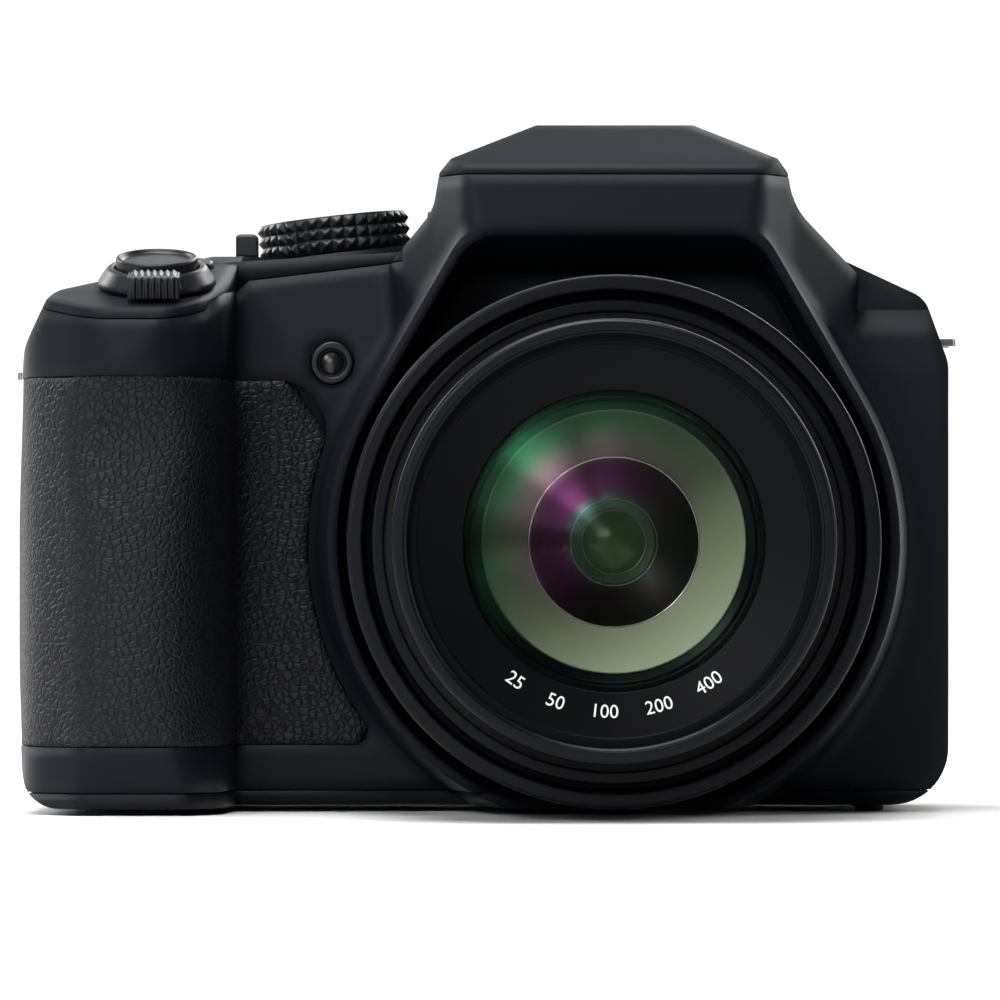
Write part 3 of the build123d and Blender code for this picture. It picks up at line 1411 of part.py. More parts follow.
ring_outer = front_bore - ring_gap
save(spin_solid([(ring_bore, -ring_back), (ring_outer, -ring_back), (ring_outer, -ring_back - ring_thickness),
                 (ring_outer - ring_slope, -ring_back - ring_thickness),
                 (ring_bore, -ring_back - ring_thickness + ring_slope)]), "name_ring")

with BuildPart() as front_glass:
    with BuildSketch(Plane.XY.offset(axis_height)):
        with BuildLine():
            dome = TangentArc((0, -glass_shoulder - glass_dome), (glass_radius, -glass_shoulder),
                              tangent=(1, 0))
            rest = Polyline(dome @ 1, (glass_shoulder_radius, -glass_shoulder),
                            (glass_shoulder_radius, -web_front), (0, -web_front))
            Line(rest @ 1, dome @ 0)
        make_face()
    revolve(axis=lens_axis)
save(front_glass.part, "front_glass")

# Zoom drive: the cam tube with its gear rim, the pinion and the motor
gear_rim_inner = base_boss_radius + ring_gap
with BuildPart() as cam_tube:
    with BuildSketch(Plane.XZ.offset(-cam_back)):
        with Locations((0, axis_height)):
            Polygon(*gear_points(gear_teeth, 0), align=None)
            Circle(gear_rim_inner, mode=Mode.SUBTRACT)
    extrude(amount=gear_width)
    add(tube(cam_front, gear_width - cam_back, cam_radius, cam_radius - cam_wall))
    with BuildSketch(Plane.YZ.offset(cam_radius - 2 * cam_wall)):
        with BuildLine():
            cam_slot = Polyline((-cam_front + 2 * gear_width, axis_height - cam_radius / 3),
                                (-cam_front / 2, axis_height),
                                (-2 * gear_width, axis_height + cam_radius / 3))
        trace(line_width=3 * cam_wall)
    extrude(amount=3 * cam_wall, mode=Mode.SUBTRACT)
save(cam_tube.part, "cam_tube")

with BuildPart() as zoom_pinion:
    with BuildSketch(Plane.XZ.offset(-cam_back)):
        with Locations(pinion_place):
            Polygon(*gear_points(pinion_teeth, pinion_angle), align=None)
            Circle(motor_shaft_radius + shaft_gap, mode=Mode.SUBTRACT)
    extrude(amount=gear_width)
save(zoom_pinion.part, "zoom_pinion")

with BuildPart() as zoom_motor:
    add(axis_bar(-base_back, -base_back - motor_length, motor_radius, pinion_place))
    add(axis_bar(gear_width, -base_back, motor_shaft_radius, pinion_place))
save(zoom_motor.part, "zoom_motor")

# Guide rods and the cells that slide on them
rod_places = [(0, axis_height + rod_place), (0, axis_height - rod_place)]
with BuildPart() as guide_rods:
    for place in rod_places:
        add(axis_bar(rod_front, -base_front, rod_radius, place))
save(guide_rods.part, "guide_rods")


def cell(front, back, outer, inner):
    """A lens cell with a bore for its glass and a hole for each rod."""
    with BuildPart() as solid:
        add(tube(front, back, outer, inner))
        for place in rod_places:
            add(axis_bar(front + seam, back - seam, rod_radius + rod_gap, place), mode=Mode.SUBTRACT)
    return solid.part


zoom_cell_front = zoom_cell_back + zoom_cell_depth
focus_cell_front = focus_cell_back + focus_cell_depth
save(cell(zoom_cell_front, zoom_cell_back, zoom_cell_radius, zoom_glass_radius), "zoom_cell")
save(lens_glass(zoom_cell_front - glass_bulge, zoom_cell_back + glass_bulge, zoom_glass_radius, glass_bulge),
     "zoom_glass")
save(cell(focus_cell_front, focus_cell_back, zoom_cell_radius, focus_glass_radius), "focus_cell")
save(lens_glass(focus_cell_front - glass_bulge, focus_cell_back + glass_bulge, focus_glass_radius,
                glass_bulge), "focus_glass")
save(tube(zoom_cell_front + iris_thickness, zoom_cell_front, iris_radius, iris_bore), "iris_unit")

# Image sensor on its plate
with BuildPart() as image_sensor:
    with BuildSketch(Plane.XZ.offset(-base_back - sensor_gap)):
        with Locations((0, axis_height)):
            Rectangle(sensor_width, sensor_height)
    extrude(amount=-sensor_thickness)
    with BuildSketch(Plane.XZ.offset(-sensor_back)):
        with Locations((0, axis_height)):
            RectangleRounded(sensor_plate_width, sensor_plate_height, sensor_post_radius)
    extrude(amount=-sensor_plate_thickness)
save(image_sensor.part, "image_sensor")
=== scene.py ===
import json
from math import cos, pi, radians, sin

import bmesh
import bpy
import numpy as np
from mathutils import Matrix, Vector


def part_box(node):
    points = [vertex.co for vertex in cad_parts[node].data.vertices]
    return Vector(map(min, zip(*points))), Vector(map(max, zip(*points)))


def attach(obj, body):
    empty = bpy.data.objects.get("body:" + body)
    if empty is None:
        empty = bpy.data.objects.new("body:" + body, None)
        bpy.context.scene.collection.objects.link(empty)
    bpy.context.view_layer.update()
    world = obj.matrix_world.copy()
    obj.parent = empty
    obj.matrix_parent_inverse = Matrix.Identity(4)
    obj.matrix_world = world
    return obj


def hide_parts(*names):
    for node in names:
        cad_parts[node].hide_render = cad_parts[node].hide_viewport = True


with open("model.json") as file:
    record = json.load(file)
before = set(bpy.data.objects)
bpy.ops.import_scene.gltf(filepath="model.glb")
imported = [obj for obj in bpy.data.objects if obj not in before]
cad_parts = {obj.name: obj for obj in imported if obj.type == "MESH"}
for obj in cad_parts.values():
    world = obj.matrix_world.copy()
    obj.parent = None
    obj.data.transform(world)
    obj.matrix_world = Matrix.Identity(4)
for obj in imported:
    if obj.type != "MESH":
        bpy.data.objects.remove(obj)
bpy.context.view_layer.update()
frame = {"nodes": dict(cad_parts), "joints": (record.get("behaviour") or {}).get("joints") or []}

mm = 0.001

# Places that the CAD model fixes, in millimetres
axis_height = 36.0
floor_height = -0.9
joints = {joint["name"]: joint for joint in frame["joints"]}


def corners(node):
    """Lowest and highest corner of a CAD node, in millimetres."""
    return [np.array(corner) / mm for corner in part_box(node)]


def middle(node):
    """Middle of a CAD node's box, in millimetres."""
    return sum(corners(node)) / 2


def add_object(name, data):
    """A new object in the scene."""
    added = bpy.data.objects.new(name, data)
    bpy.context.scene.collection.objects.link(added)
    return added


# Camera: its place and lens were worked out from the rings of the lens, and it looks from below the lens axis
def place_camera(eye, lens, shift):
    """A level camera that looks along +Y, shifted so that the frame holds the object as photographed."""
    data = bpy.data.cameras.new("camera")
    data.lens = lens
    data.shift_x, data.shift_y = shift
    data.clip_end = 20.0
    camera = add_object("camera", data)
    camera.location = [value * mm for value in eye]
    camera.rotation_euler = (pi / 2, 0, 0)
    bpy.context.scene.camera = camera


place_camera(eye=(-1.85, -1200.0, 28.3), lens=308.6, shift=(-0.1, 0.1))


# Colours and nodes: the slow patches of gloss are 18 mm wide, and all plastics bend light alike
patch_size = 18
plastic_ior = 1.5


def linear(hex_colour):
    """An sRGB hex colour as linear values with full alpha."""
    shares = [int(hex_colour[start:start + 2], 16) / 255 for start in (1, 3, 5)]
    straight = [share / 12.92 if share <= 0.04045 else ((share + 0.055) / 1.055) ** 2.4 for share in shares]
    return straight + [1.0]


def add_node(material, kind, settings, **links):
    """Adds a node, sets its sockets and properties by name, and joins the named inputs to other sockets."""
    node = material.node_tree.nodes.new(kind)
    for name, value in settings.items():
        if isinstance(name, int) or name in node.inputs:
            node.inputs[name].default_value = value
        else:
            setattr(node, name, value)
    for name, source in links.items():
        material.node_tree.links.new(source, node.inputs[name.replace("_", " ")])
    return node


def new_material(name):
    """An empty material, its output node and the object coordinates that its patterns read, in metres."""
    material = bpy.data.materials.new(name)
    material.use_nodes = True
    material.node_tree.nodes.clear()
    output = add_node(material, "ShaderNodeOutputMaterial", {})
    place = add_node(material, "ShaderNodeTexCoord", {}).outputs["Object"]
    return material, output, place


def finish_material(material, output, shader):
    """Joins the finished shader to the output."""
    material.node_tree.links.new(shader.outputs[0], output.inputs["Surface"])
    return material


def noise_of_size(material, place, size, detail=2.0):
    """A noise whose patches have about a size in millimetres."""
    settings = {"Scale": 1 / (size * mm), "Detail": detail}
    return add_node(material, "ShaderNodeTexNoise", settings, Vector=place)


def spread(material, share, low, high):
    """Turns a share of 0 to 1 into a value from low to high."""
    return add_node(material, "ShaderNodeMapRange", {"To Min": low, "To Max": high}, Value=share)


def blend(material, colour, other_colour, share):
    """Goes from one hex colour to another with a share of 0 to 1."""
    return add_node(material, "ShaderNodeMix",
                    {"data_type": "RGBA", "A": linear(colour), "B": linear(other_colour)}, Factor=share)


def moulded_plastic(name, colour, worn_colour, roughness, specular, edge, grain, grain_height):
    """Moulded plastic: the fine noise of a spark-eroded mould, slow patches of gloss, and rounded edges."""
    material, output, place = new_material(name)
    patches = noise_of_size(material, place, patch_size, 3.0).outputs["Fac"]
    tone = blend(material, colour, worn_colour, patches)
    gloss = spread(material, patches, roughness - 0.05, roughness + 0.05)
    grain_noise = noise_of_size(material, place, grain)
    rounded_edge = add_node(material, "ShaderNodeBevel", {"samples": 6, "Radius": edge * mm})
    bump = add_node(material, "ShaderNodeBump", {"Strength": 0.6, "Distance": grain_height * mm},
                    Height=grain_noise.outputs["Fac"], Normal=rounded_edge.outputs["Normal"])
    shader = add_node(material, "ShaderNodeBsdfPrincipled",
                      {"IOR": plastic_ior, "Specular IOR Level": specular},
                      Base_Color=tone.outputs["Result"], Roughness=gloss.outputs["Result"],
                      Normal=bump.outputs["Normal"])
    return finish_material(material, output, shader)


def plain_finish(name, colour, roughness, metallic=0.0, grain=0.4, grain_height=0.01, coat=0.0):
    """A smooth finish with faint noise in its gloss and height, for small or inner pieces."""
    material, output, place = new_material(name)
    noise = noise_of_size(material, place, grain).outputs["Fac"]
    gloss = spread(material, noise, roughness * 0.9, roughness * 1.1)
    bump = add_node(material, "ShaderNodeBump", {"Strength": 0.5, "Distance": grain_height * mm},
                    Height=noise)
    shader = add_node(material, "ShaderNodeBsdfPrincipled",
                      {"Base Color": linear(colour), "Metallic": metallic, "Coat Weight": coat},
                      Roughness=gloss.outputs["Result"], Normal=bump.outputs["Normal"])
    return finish_material(material, output, shader)


# Finishes: the shell is navy-black polycarbonate with soft broad highlights, the barrels are glossier
shell_plastic = moulded_plastic("grained_polycarbonate", "#0b0f17", "#0e121b", roughness=0.46, specular=0.12,
                                edge=3.0, grain=0.30, grain_height=0.02)
barrel_plastic = moulded_plastic("satin_polycarbonate_barrel", "#07090e", "#0a0c12", roughness=0.34,
                                 specular=0.14, edge=0.15, grain=0.25, grain_height=0.006)
trim_plastic = moulded_plastic("matt_black_trim_ring", "#040508", "#06070b", roughness=0.4, specular=0.07,
                               edge=0.1, grain=0.25, grain_height=0.004)
control_plastic = moulded_plastic("satin_abs_controls", "#0c0e13", "#101218", roughness=0.36, specular=0.3,
                                  edge=0.3, grain=0.25, grain_height=0.01)
rubber = moulded_plastic("matt_thermoplastic_rubber", "#0a0a0d", "#0e0e11", roughness=0.62, specular=0.25,
                         edge=0.6, grain=0.35, grain_height=0.03)
inner_plastic = plain_finish("matt_black_moulding", "#060607", 0.75)
flock = plain_finish("black_flock", "#020203", 0.95)
steel = plain_finish("polished_steel", "#b9b9bb", 0.22, metallic=1.0)
black_steel = plain_finish("blackened_screw_steel", "#2a2a2d", 0.4, metallic=1.0)
brass = plain_finish("nickel_plated_brass", "#c2bca6", 0.3, metallic=1.0)
aluminium = plain_finish("sheet_aluminium", "#a9abae", 0.4, metallic=1.0)
acetal = plain_finish("natural_acetal", "#dcd9cf", 0.35)
board = plain_finish("solder_resist_green", "#0e4a28", 0.4)
battery_case = plain_finish("battery_polycarbonate", "#34353a", 0.5)
card_case = plain_finish("card_abs", "#1b2545", 0.45)
display_acrylic = plain_finish("hard_coated_acrylic", "#050607", 0.08, grain_height=0.001)
flash_acrylic = plain_finish("ribbed_flash_acrylic", "#c9cdd2", 0.12, coat=1.0, grain_height=0.002)
lamp_acrylic = plain_finish("smoked_lamp_acrylic", "#0a0a0d", 0.3, grain_height=0.001)
inner_glass = plain_finish("dark_coated_glass", "#0b1512", 0.04, coat=1.0, grain_height=0.0005)
core_glass = plain_finish("deep_coated_glass", "#5c6e57", 0.16, grain_height=0.0002)
ring_enamel = plain_finish("grey_green_cell_enamel", "#3f4d44", 0.4, grain_height=0.001)
edge_metal = plain_finish("anodised_cell_edge", "#6f8072", 0.3, metallic=1.0, grain_height=0.001)
white_paint = plain_finish("printed_white_ink", "#e4e6e8", 0.5, grain_height=0.002)
red_paint = plain_finish("printed_red_ink", "#9c1f1c", 0.5, grain_height=0.002)
display_panel = plain_finish("display_panel_behind_acrylic", "#0b0d10", 0.16, grain_height=0.001)


def leather_rubber():
    """Rubber with a pressed leather grain: warped cells about 1 mm across with creases, over finer pores."""
    material, output, place = new_material("leather_grain_rubber")
    warp = noise_of_size(material, place, 1.3, 3.0)
    bent = add_node(material, "ShaderNodeMix", {"data_type": "VECTOR", "Factor": 0.0006},
                    A=place, B=warp.outputs["Color"])
    cells = add_node(material, "ShaderNodeTexVoronoi",
                     {"feature": "DISTANCE_TO_EDGE", "Scale": 1 / (1.0 * mm), "Randomness": 1.0},
                     Vector=bent.outputs["Result"])
    crease = add_node(material, "ShaderNodeMapRange", {"From Max": 0.22, "interpolation_type": "SMOOTHSTEP"},
                      Value=cells.outputs["Distance"])
    pores = noise_of_size(material, place, 0.45, 3.0)
    height = add_node(material, "ShaderNodeMath", {"operation": "MULTIPLY_ADD", 1: 0.35})
    material.node_tree.links.new(pores.outputs["Fac"], height.inputs[0])
    material.node_tree.links.new(crease.outputs["Result"], height.inputs[2])
    # Painted shade: the creases of the grain are darker than the tops of the cells
    tone = blend(material, "#08090c", "#111319", crease.outputs["Result"])
    gloss = spread(material, crease.outputs["Result"], 0.62, 0.48)
    rounded_edge = add_node(material, "ShaderNodeBevel", {"samples": 6, "Radius": 1.5 * mm})
    bump = add_node(material, "ShaderNodeBump", {"Strength": 0.9, "Distance": 0.13 * mm},
                    Height=height.outputs[0], Normal=rounded_edge.outputs["Normal"])
    shader = add_node(material, "ShaderNodeBsdfPrincipled", {"IOR": plastic_ior, "Specular IOR Level": 0.23},
                      Base_Color=tone.outputs["Result"], Roughness=gloss.outputs["Result"],
                      Normal=bump.outputs["Normal"])
    return finish_material(material, output, shader)


def fill_ramp(ramp, stops):
    """Gives a colour ramp its (share, hex colour) stops."""
    while len(ramp.color_ramp.elements) < len(stops):
        ramp.color_ramp.elements.new(1.0)
    for element, (position, colour) in zip(ramp.color_ramp.elements, stops):
        element.position, element.color = position, linear(colour)
    return ramp


def sweep_colours(material, place, low_point, high_point, stops):
    """A colour ramp along the line between two points in millimetres, from (share, hex colour) stops."""
    low, high = np.array(low_point) * mm, np.array(high_point) * mm
    line = high - low
    shift = add_node(material, "ShaderNodeVectorMath", {"operation": "SUBTRACT", 1: low.tolist()})
    material.node_tree.links.new(place, shift.inputs[0])
    share = add_node(material, "ShaderNodeVectorMath",
                     {"operation": "DOT_PRODUCT", 1: (line / np.dot(line, line)).tolist()})
    material.node_tree.links.new(shift.outputs["Vector"], share.inputs[0])
    return fill_ramp(add_node(material, "ShaderNodeValToRGB", {}, Fac=share.outputs["Value"]), stops)


def lens_radius_colours(material, place, stops):
    """A colour ramp by the distance from the lens axis, from (millimetres, hex colour) stops."""
    reach = stops[-1][0]
    flat = add_node(material, "ShaderNodeVectorMath", {"operation": "MULTIPLY_ADD", 1: (1, 0, 1),
                                                       2: (0, 0, -axis_height * mm)})
    material.node_tree.links.new(place, flat.inputs[0])
    radius = add_node(material, "ShaderNodeVectorMath", {"operation": "LENGTH"})
    material.node_tree.links.new(flat.outputs["Vector"], radius.inputs[0])
    share = add_node(material, "ShaderNodeMapRange", {"From Max": reach * mm}, Value=radius.outputs["Value"])
    return fill_ramp(add_node(material, "ShaderNodeValToRGB", {}, Fac=share.outputs["Result"]),
                     [(distance / reach, colour) for distance, colour in stops])


def coated_front():
    """Clear glass with a coating: it lets most light through and mirrors a little in soft streaks that run to
    the middle. The colours of the reflection are painted by radius, green near the rim, then pink, purple and
    pale green, and a painted highlight makes it strongest on the upper left."""
    material, output, place = new_material("multicoated_glass_painted_reflection")
    # Painted reflection: the mirror's colours are painted by the distance from the lens axis
    painted_reflection_tint = lens_radius_colours(material, place, [
        (0.0, "#4a564a"), (3.9, "#56675a"), (5.8, "#a4d3d6"), (7.0, "#c25fb4"), (10.2, "#8a4a86"),
        (11.8, "#e0a9c4"), (13.6, "#c9c7c0"), (15.6, "#63c48c"), (18.0, "#3f9b6c"), (19.5, "#2c5c44")])
    # Painted highlight: the mirror is bright on the upper left and dim on the lower right
    painted_highlight_sweep = sweep_colours(material, place, (-15, 0, axis_height + 15), (15, 0, axis_height - 15), [
        (0.0, "#ffffff"), (0.3, "#f0f0f0"), (0.48, "#7c7c7c"), (0.62, "#3c3c3c"), (1.0, "#505050")])
    painted_reflection_colour = add_node(material, "ShaderNodeMix",
                     {"data_type": "RGBA", "blend_type": "MULTIPLY", "Factor": 1.0},
                     A=painted_reflection_tint.outputs["Color"], B=painted_highlight_sweep.outputs["Color"])
    around = add_node(material, "ShaderNodeTangent", {"direction_type": "RADIAL", "axis": "Y"})
    mirror = add_node(material, "ShaderNodeBsdfAnisotropic", {"Roughness": 0.3, "Anisotropy": 0.8},
                      Color=painted_reflection_colour.outputs["Result"], Tangent=around.outputs["Tangent"])
    clear = add_node(material, "ShaderNodeBsdfTransparent", {"Color": linear("#f0f4ee")})
    mix = add_node(material, "ShaderNodeMixShader", {0: 0.07})
    material.node_tree.links.new(clear.outputs[0], mix.inputs[1])
    material.node_tree.links.new(mirror.outputs[0], mix.inputs[2])
    return finish_material(material, output, mix)


def swept_coating(name, reach, stops, roughness, ior, specular):
    """A coating seen through the front glass, with painted light: its colour changes along a line through the
    lens axis, from the upper left to the lower right, as the lamps' light and shade would fall on it. The
    line reaches so far to the side and up in millimetres."""
    material, output, place = new_material(name)
    side, up = reach
    # Painted light: the colour runs from the upper left to the lower right, as the lamps light the surface
    ramp = sweep_colours(material, place, (-side, 0, axis_height + up), (side, 0, axis_height - up), stops)
    noise = noise_of_size(material, place, 0.2, 1.0)
    gloss = spread(material, noise.outputs["Fac"], *roughness)
    shader = add_node(material, "ShaderNodeBsdfPrincipled", {"IOR": ior, "Specular IOR Level": specular},
                      Base_Color=ramp.outputs["Color"], Roughness=gloss.outputs["Result"])
    return finish_material(material, output, shader)


leather = leather_rubber()
glass_with_painted_reflection = coated_front()
# The lens seat is olive green, with painted light: pale towards the lower right and dark on the upper left
seat_with_painted_light = swept_coating(
    "olive_lens_coating_painted_light", (9, 17),
    [(0.0, "#2c3a31"), (0.2, "#39433a"), (0.45, "#5d6156"), (0.7, "#a3a693"), (1.0, "#dcdecd")],
    roughness=(0.28, 0.36), ior=1.5, specular=0.5)
# The glass behind the seat is dark and deep green on the right, with a painted purple reflection on the upper
# left
bowl_with_painted_reflection = swept_coating(
    "green_coating_painted_purple_reflection", (11, 6),
    [(0.0, "#3a2036"), (0.35, "#2a1830"), (0.55, "#0b120e"), (1.0, "#0c1a12")],
    roughness=(0.34, 0.42), ior=1.6, specular=0.4)

node_finishes = {
    shell_plastic: ["front_cover", "rear_cover", "top_cover", "bottom_cover", "flash_cover", "battery_door"],
    leather: ["grip_rubber", "thumb_rest"],
    rubber: ["evf_eyecup", "terminal_cover", "feet"],
    barrel_plastic: ["fixed_barrel", "middle_barrel", "front_barrel", "name_ring"],
    control_plastic: ["mode_dial", "rear_dial", "diopter_dial", "zoom_lever", "shutter_button",
                      "video_button", "viewfinder_button", "playback_button", "display_button", "menu_button",
                      "cursor_pad", "power_switch", "flash_release", "battery_latch"],
    inner_plastic: ["battery_bay", "flash_frame", "evf_tube", "lens_base", "cam_tube", "zoom_cell",
                    "focus_cell", "iris_unit", "flash_capacitor"],
    steel: ["strap_lugs", "guide_rods", "flash_hinge_pin", "flash_reflector", "terminal_sockets"],
    black_steel: ["screws"],
    brass: ["tripod_bush"],
    aluminium: ["lcd_panel", "zoom_motor", "image_sensor"],
    acetal: ["zoom_pinion"],
    board: ["main_board"],
    battery_case: ["battery"],
    card_case: ["memory_card"],
    display_acrylic: ["lcd_window"],
    inner_glass: ["front_glass", "zoom_glass", "focus_glass", "evf_lens"],
    lamp_acrylic: ["focus_lamp"],
    flash_acrylic: ["flash_window", "flash_tube"],
}
for finish, names in node_finishes.items():
    for name in names:
        for slot in frame["nodes"][name].material_slots:
            slot.material = finish


# Surfaces as grids of points in millimetres: points nearer than the merge distance become one
merge_distance, thin_distance = 0.002, 0.001


def grid_faces(rows, columns, start):
    """Corner numbers of the faces between neighbouring points of a grid."""
    row, column = np.meshgrid(np.arange(rows - 1), np.arange(columns - 1), indexing="ij")
    first = start + (row * columns + column).ravel()
    return np.stack([first, first + 1, first + columns + 1, first + columns], -1)


def make_piece(name, grids, finish, body, replaces=(), sharp=35):
    """One object from grids of points: points that meet are merged, and the faces look outwards."""
    points, faces, start = [], [], 0
    for grid in grids:
        rows, columns = grid.shape[:2]
        points.append(grid.reshape(-1, 3) * mm)
        faces.append(grid_faces(rows, columns, start))
        start += rows * columns
    mesh = bpy.data.meshes.new(name)
    mesh.from_pydata(np.concatenate(points).tolist(), [], np.concatenate(faces).tolist())
    add_piece(name, mesh, finish, body, replaces, sharp)


def dress_mesh(name, mesh, finish, body):
    """Adds a mesh in one finish as a piece of a CAD body."""
    mesh.materials.clear()
    mesh.materials.append(finish)
    piece = add_object(name, mesh)
    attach(piece, body)
    return piece


def add_piece(name, mesh, finish, body, replaces=(), sharp=35):
    """Merges and smooths a mesh in metres, and adds it to a CAD body, where it may replace CAD nodes."""
    work = bmesh.new()
    work.from_mesh(mesh)
    bmesh.ops.remove_doubles(work, verts=work.verts, dist=merge_distance * mm)
    bmesh.ops.dissolve_degenerate(work, dist=thin_distance * mm, edges=work.edges)
    bmesh.ops.recalc_face_normals(work, faces=work.faces)
    work.to_mesh(mesh)
    work.free()
    mesh.shade_smooth()
    mesh.set_sharp_from_angle(angle=radians(sharp))
    piece = dress_mesh(name, mesh, finish, body)
    if replaces:
        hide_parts(*replaces)


def placed(origin, axis, towards):
    """A place to turn things about: an origin, a side direction, the one across it, and the axis."""
    along = np.array(axis, float) / np.linalg.norm(axis)
    side = np.array(towards, float) - np.dot(towards, along) * along
    side /= np.linalg.norm(side)
    return np.array(origin, float), side, np.cross(along, side), along


def turned(profile, place, steps=192, radius_change=None):
    """A surface of revolution: profile points (radius, distance along the axis) carried round the axis.
    radius_change gives what is added to the radius for the angles (down) and the profile points (across)."""
    origin, side, across, along = place
    angle = np.linspace(0, 2 * pi, steps + 1)
    radius, height = np.array(profile, float).T
    grown = np.tile(radius, (steps + 1, 1))
    if radius_change is not None:
        grown = grown + radius_change(angle[:, None], height[None, :])
    ray = np.cos(angle)[:, None, None] * side + np.sin(angle)[:, None, None] * across
    return origin + grown[:, :, None] * ray + height[None, :, None] * along


def rounded(points, radii, steps=5):
    """A closed profile whose corners become short parabolas, each with a support point on both sides."""
    points = np.array(points, float)
    share = np.linspace(0, 1, steps + 1)[:, None]
    result = []
    for before, corner, after, radius in zip(np.roll(points, 1, 0), points, np.roll(points, -1, 0), radii):
        if radius == 0:
            result.append(corner[None])
            continue
        back, ahead = before - corner, after - corner
        start = corner + back / np.linalg.norm(back) * radius
        end = corner + ahead / np.linalg.norm(ahead) * radius
        arc = (1 - share) ** 2 * start + 2 * share * (1 - share) * corner + share ** 2 * end
        result += [(start + (start - corner) * 0.3)[None], arc, (end + (end - corner) * 0.3)[None]]
    result.append(result[0][:1])
    return np.concatenate(result)


def loop_section(section, steps, place):
    """A straight bar with closed ends, cut into steps: section gives its outline at a share of its length."""
    shares = np.linspace(0, 1, steps + 1)
    rows = [section(share) for share in shares]
    first, last = rows[0], rows[-1]
    rows = [np.tile(first.mean(0), (len(first), 1)), *rows, np.tile(last.mean(0), (len(last), 1))]
    origin, side, across, along = place
    grid = np.array(rows)
    return origin + grid[..., :1] * side + grid[..., 1:2] * across + grid[..., 2:] * along


lens_place = placed((0, 0, axis_height), (0, -1, 0), (1, 0, 0))


def softened_copy(name, node, voxel, passes, weights, finish, body):
    """A copy of a CAD node, meshed evenly, whose points move towards the middle of their neighbours again and
    again, by a share that weights gives for each point in millimetres."""
    mesh = frame["nodes"][node].data.copy()
    work = bmesh.new()
    work.from_mesh(mesh)
    bmesh.ops.remove_doubles(work, verts=work.verts, dist=merge_distance * mm)
    work.to_mesh(mesh)
    work.free()
    rough = add_object(name, mesh)
    remesh = rough.modifiers.new("even", "REMESH")
    remesh.mode, remesh.voxel_size = "VOXEL", voxel * mm
    even = bpy.data.meshes.new_from_object(rough.evaluated_get(bpy.context.evaluated_depsgraph_get()))
    bpy.data.objects.remove(rough)
    count = len(even.vertices)
    points = np.zeros(count * 3)
    even.vertices.foreach_get("co", points)
    points = points.reshape(-1, 3) / mm
    ends = np.zeros(len(even.edges) * 2, int)
    even.edges.foreach_get("vertices", ends)
    near, far = np.concatenate([ends.reshape(-1, 2), ends.reshape(-1, 2)[:, ::-1]]).T
    neighbours = np.bincount(near, minlength=count)[:, None]
    share = weights(points)[:, None]
    for _ in range(passes):
        total = np.stack([np.bincount(near, points[far, axis], count) for axis in range(3)], 1)
        points += share * (total / neighbours - points)
    even.vertices.foreach_set("co", (points * mm).ravel())
    even.update()
    add_piece(name, even, finish, body, [node], sharp=60)


# Grip cover: the hollow for the fingertips flows into the front, and only its border stays as it is
cover_low, cover_high = corners("grip_rubber")
cover_ring_radius, cover_border, cover_rim, most_pull = 42.1, 2.5, 0.4, 0.6


def away_from_border(points):
    """0 on the rim of the grip cover, rising to the most pull at the border's width inside it."""
    x, y, z = points.T
    inside = np.minimum.reduce([z - cover_low[2], cover_high[2] - z, cover_high[1] - y,
                                np.hypot(x, z - axis_height) - cover_ring_radius])
    return most_pull * np.clip((inside - cover_rim) / cover_border, 0, 1)


softened_copy("grip_cover_leather", "grip_rubber", voxel=0.5, passes=120, weights=away_from_border,
              finish=leather, body="body")

# Fixed barrel: a ring with two fine grooves, a pocket for the inner lips and a slimmer neck
ring_radius, ring_front, pocket_radius, pocket_floor = 35.4, 66.0, 33.3, 54.0
neck_radius, neck_front, tail, bore_radius = 33.9, 39.5, 6.0, 31.85
groove_depth, groove_width = 0.35, 0.5
back_groove_gap, front_groove_gap = 3.2, 4.0


def groove(radius, at):
    """Four corners of a narrow groove in an outside face."""
    floor, half = radius - groove_depth, groove_width / 2
    return [(radius, at - half - groove_depth), (floor, at - half), (floor, at + half),
            (radius, at + half + groove_depth)]


fixed_profile = [(bore_radius, tail), (neck_radius, tail), (neck_radius, neck_front),
                 (ring_radius, neck_front), *groove(ring_radius, neck_front + back_groove_gap),
                 *groove(ring_radius, ring_front - front_groove_gap), (ring_radius, ring_front),
                 (pocket_radius, ring_front), (pocket_radius, pocket_floor), (bore_radius, pocket_floor)]
fixed_rounds = [0, 0, 0, 0.4, *[0.1] * 8, 0.55, 0.35, 0.2, 0.2]
make_piece("fixed_barrel_turned", [turned(rounded(fixed_profile, fixed_rounds), lens_place)], barrel_plastic,
           "body", ["fixed_barrel"])

# Middle barrel: its lip with a rounded front, and the felt ring that wipes the front barrel
middle_radius, middle_bore, middle_front = 31.6, 30.5, 64.0
lip_radius, lip_back = 32.3, 60.0
felt_radius, felt_front, felt_back = 29.3, 63.5, 62.0
middle_profile = [(middle_bore, tail), (middle_radius, tail), (middle_radius, lip_back),
                  (lip_radius, lip_back), (lip_radius, middle_front), (middle_bore, middle_front)]
make_piece("middle_barrel_turned", [turned(rounded(middle_profile, [0, 0, 0.2, 0.3, 0.5, 0.3]), lens_place)],
           barrel_plastic, "middle_barrel", ["middle_barrel"])
felt_profile = [(felt_radius, felt_back), (middle_bore, felt_back), (middle_bore, felt_front),
                (felt_radius, felt_front)]
make_piece("felt_ring", [turned(rounded(felt_profile, [0.2, 0, 0, 0.4]), lens_place)], flock, "middle_barrel")

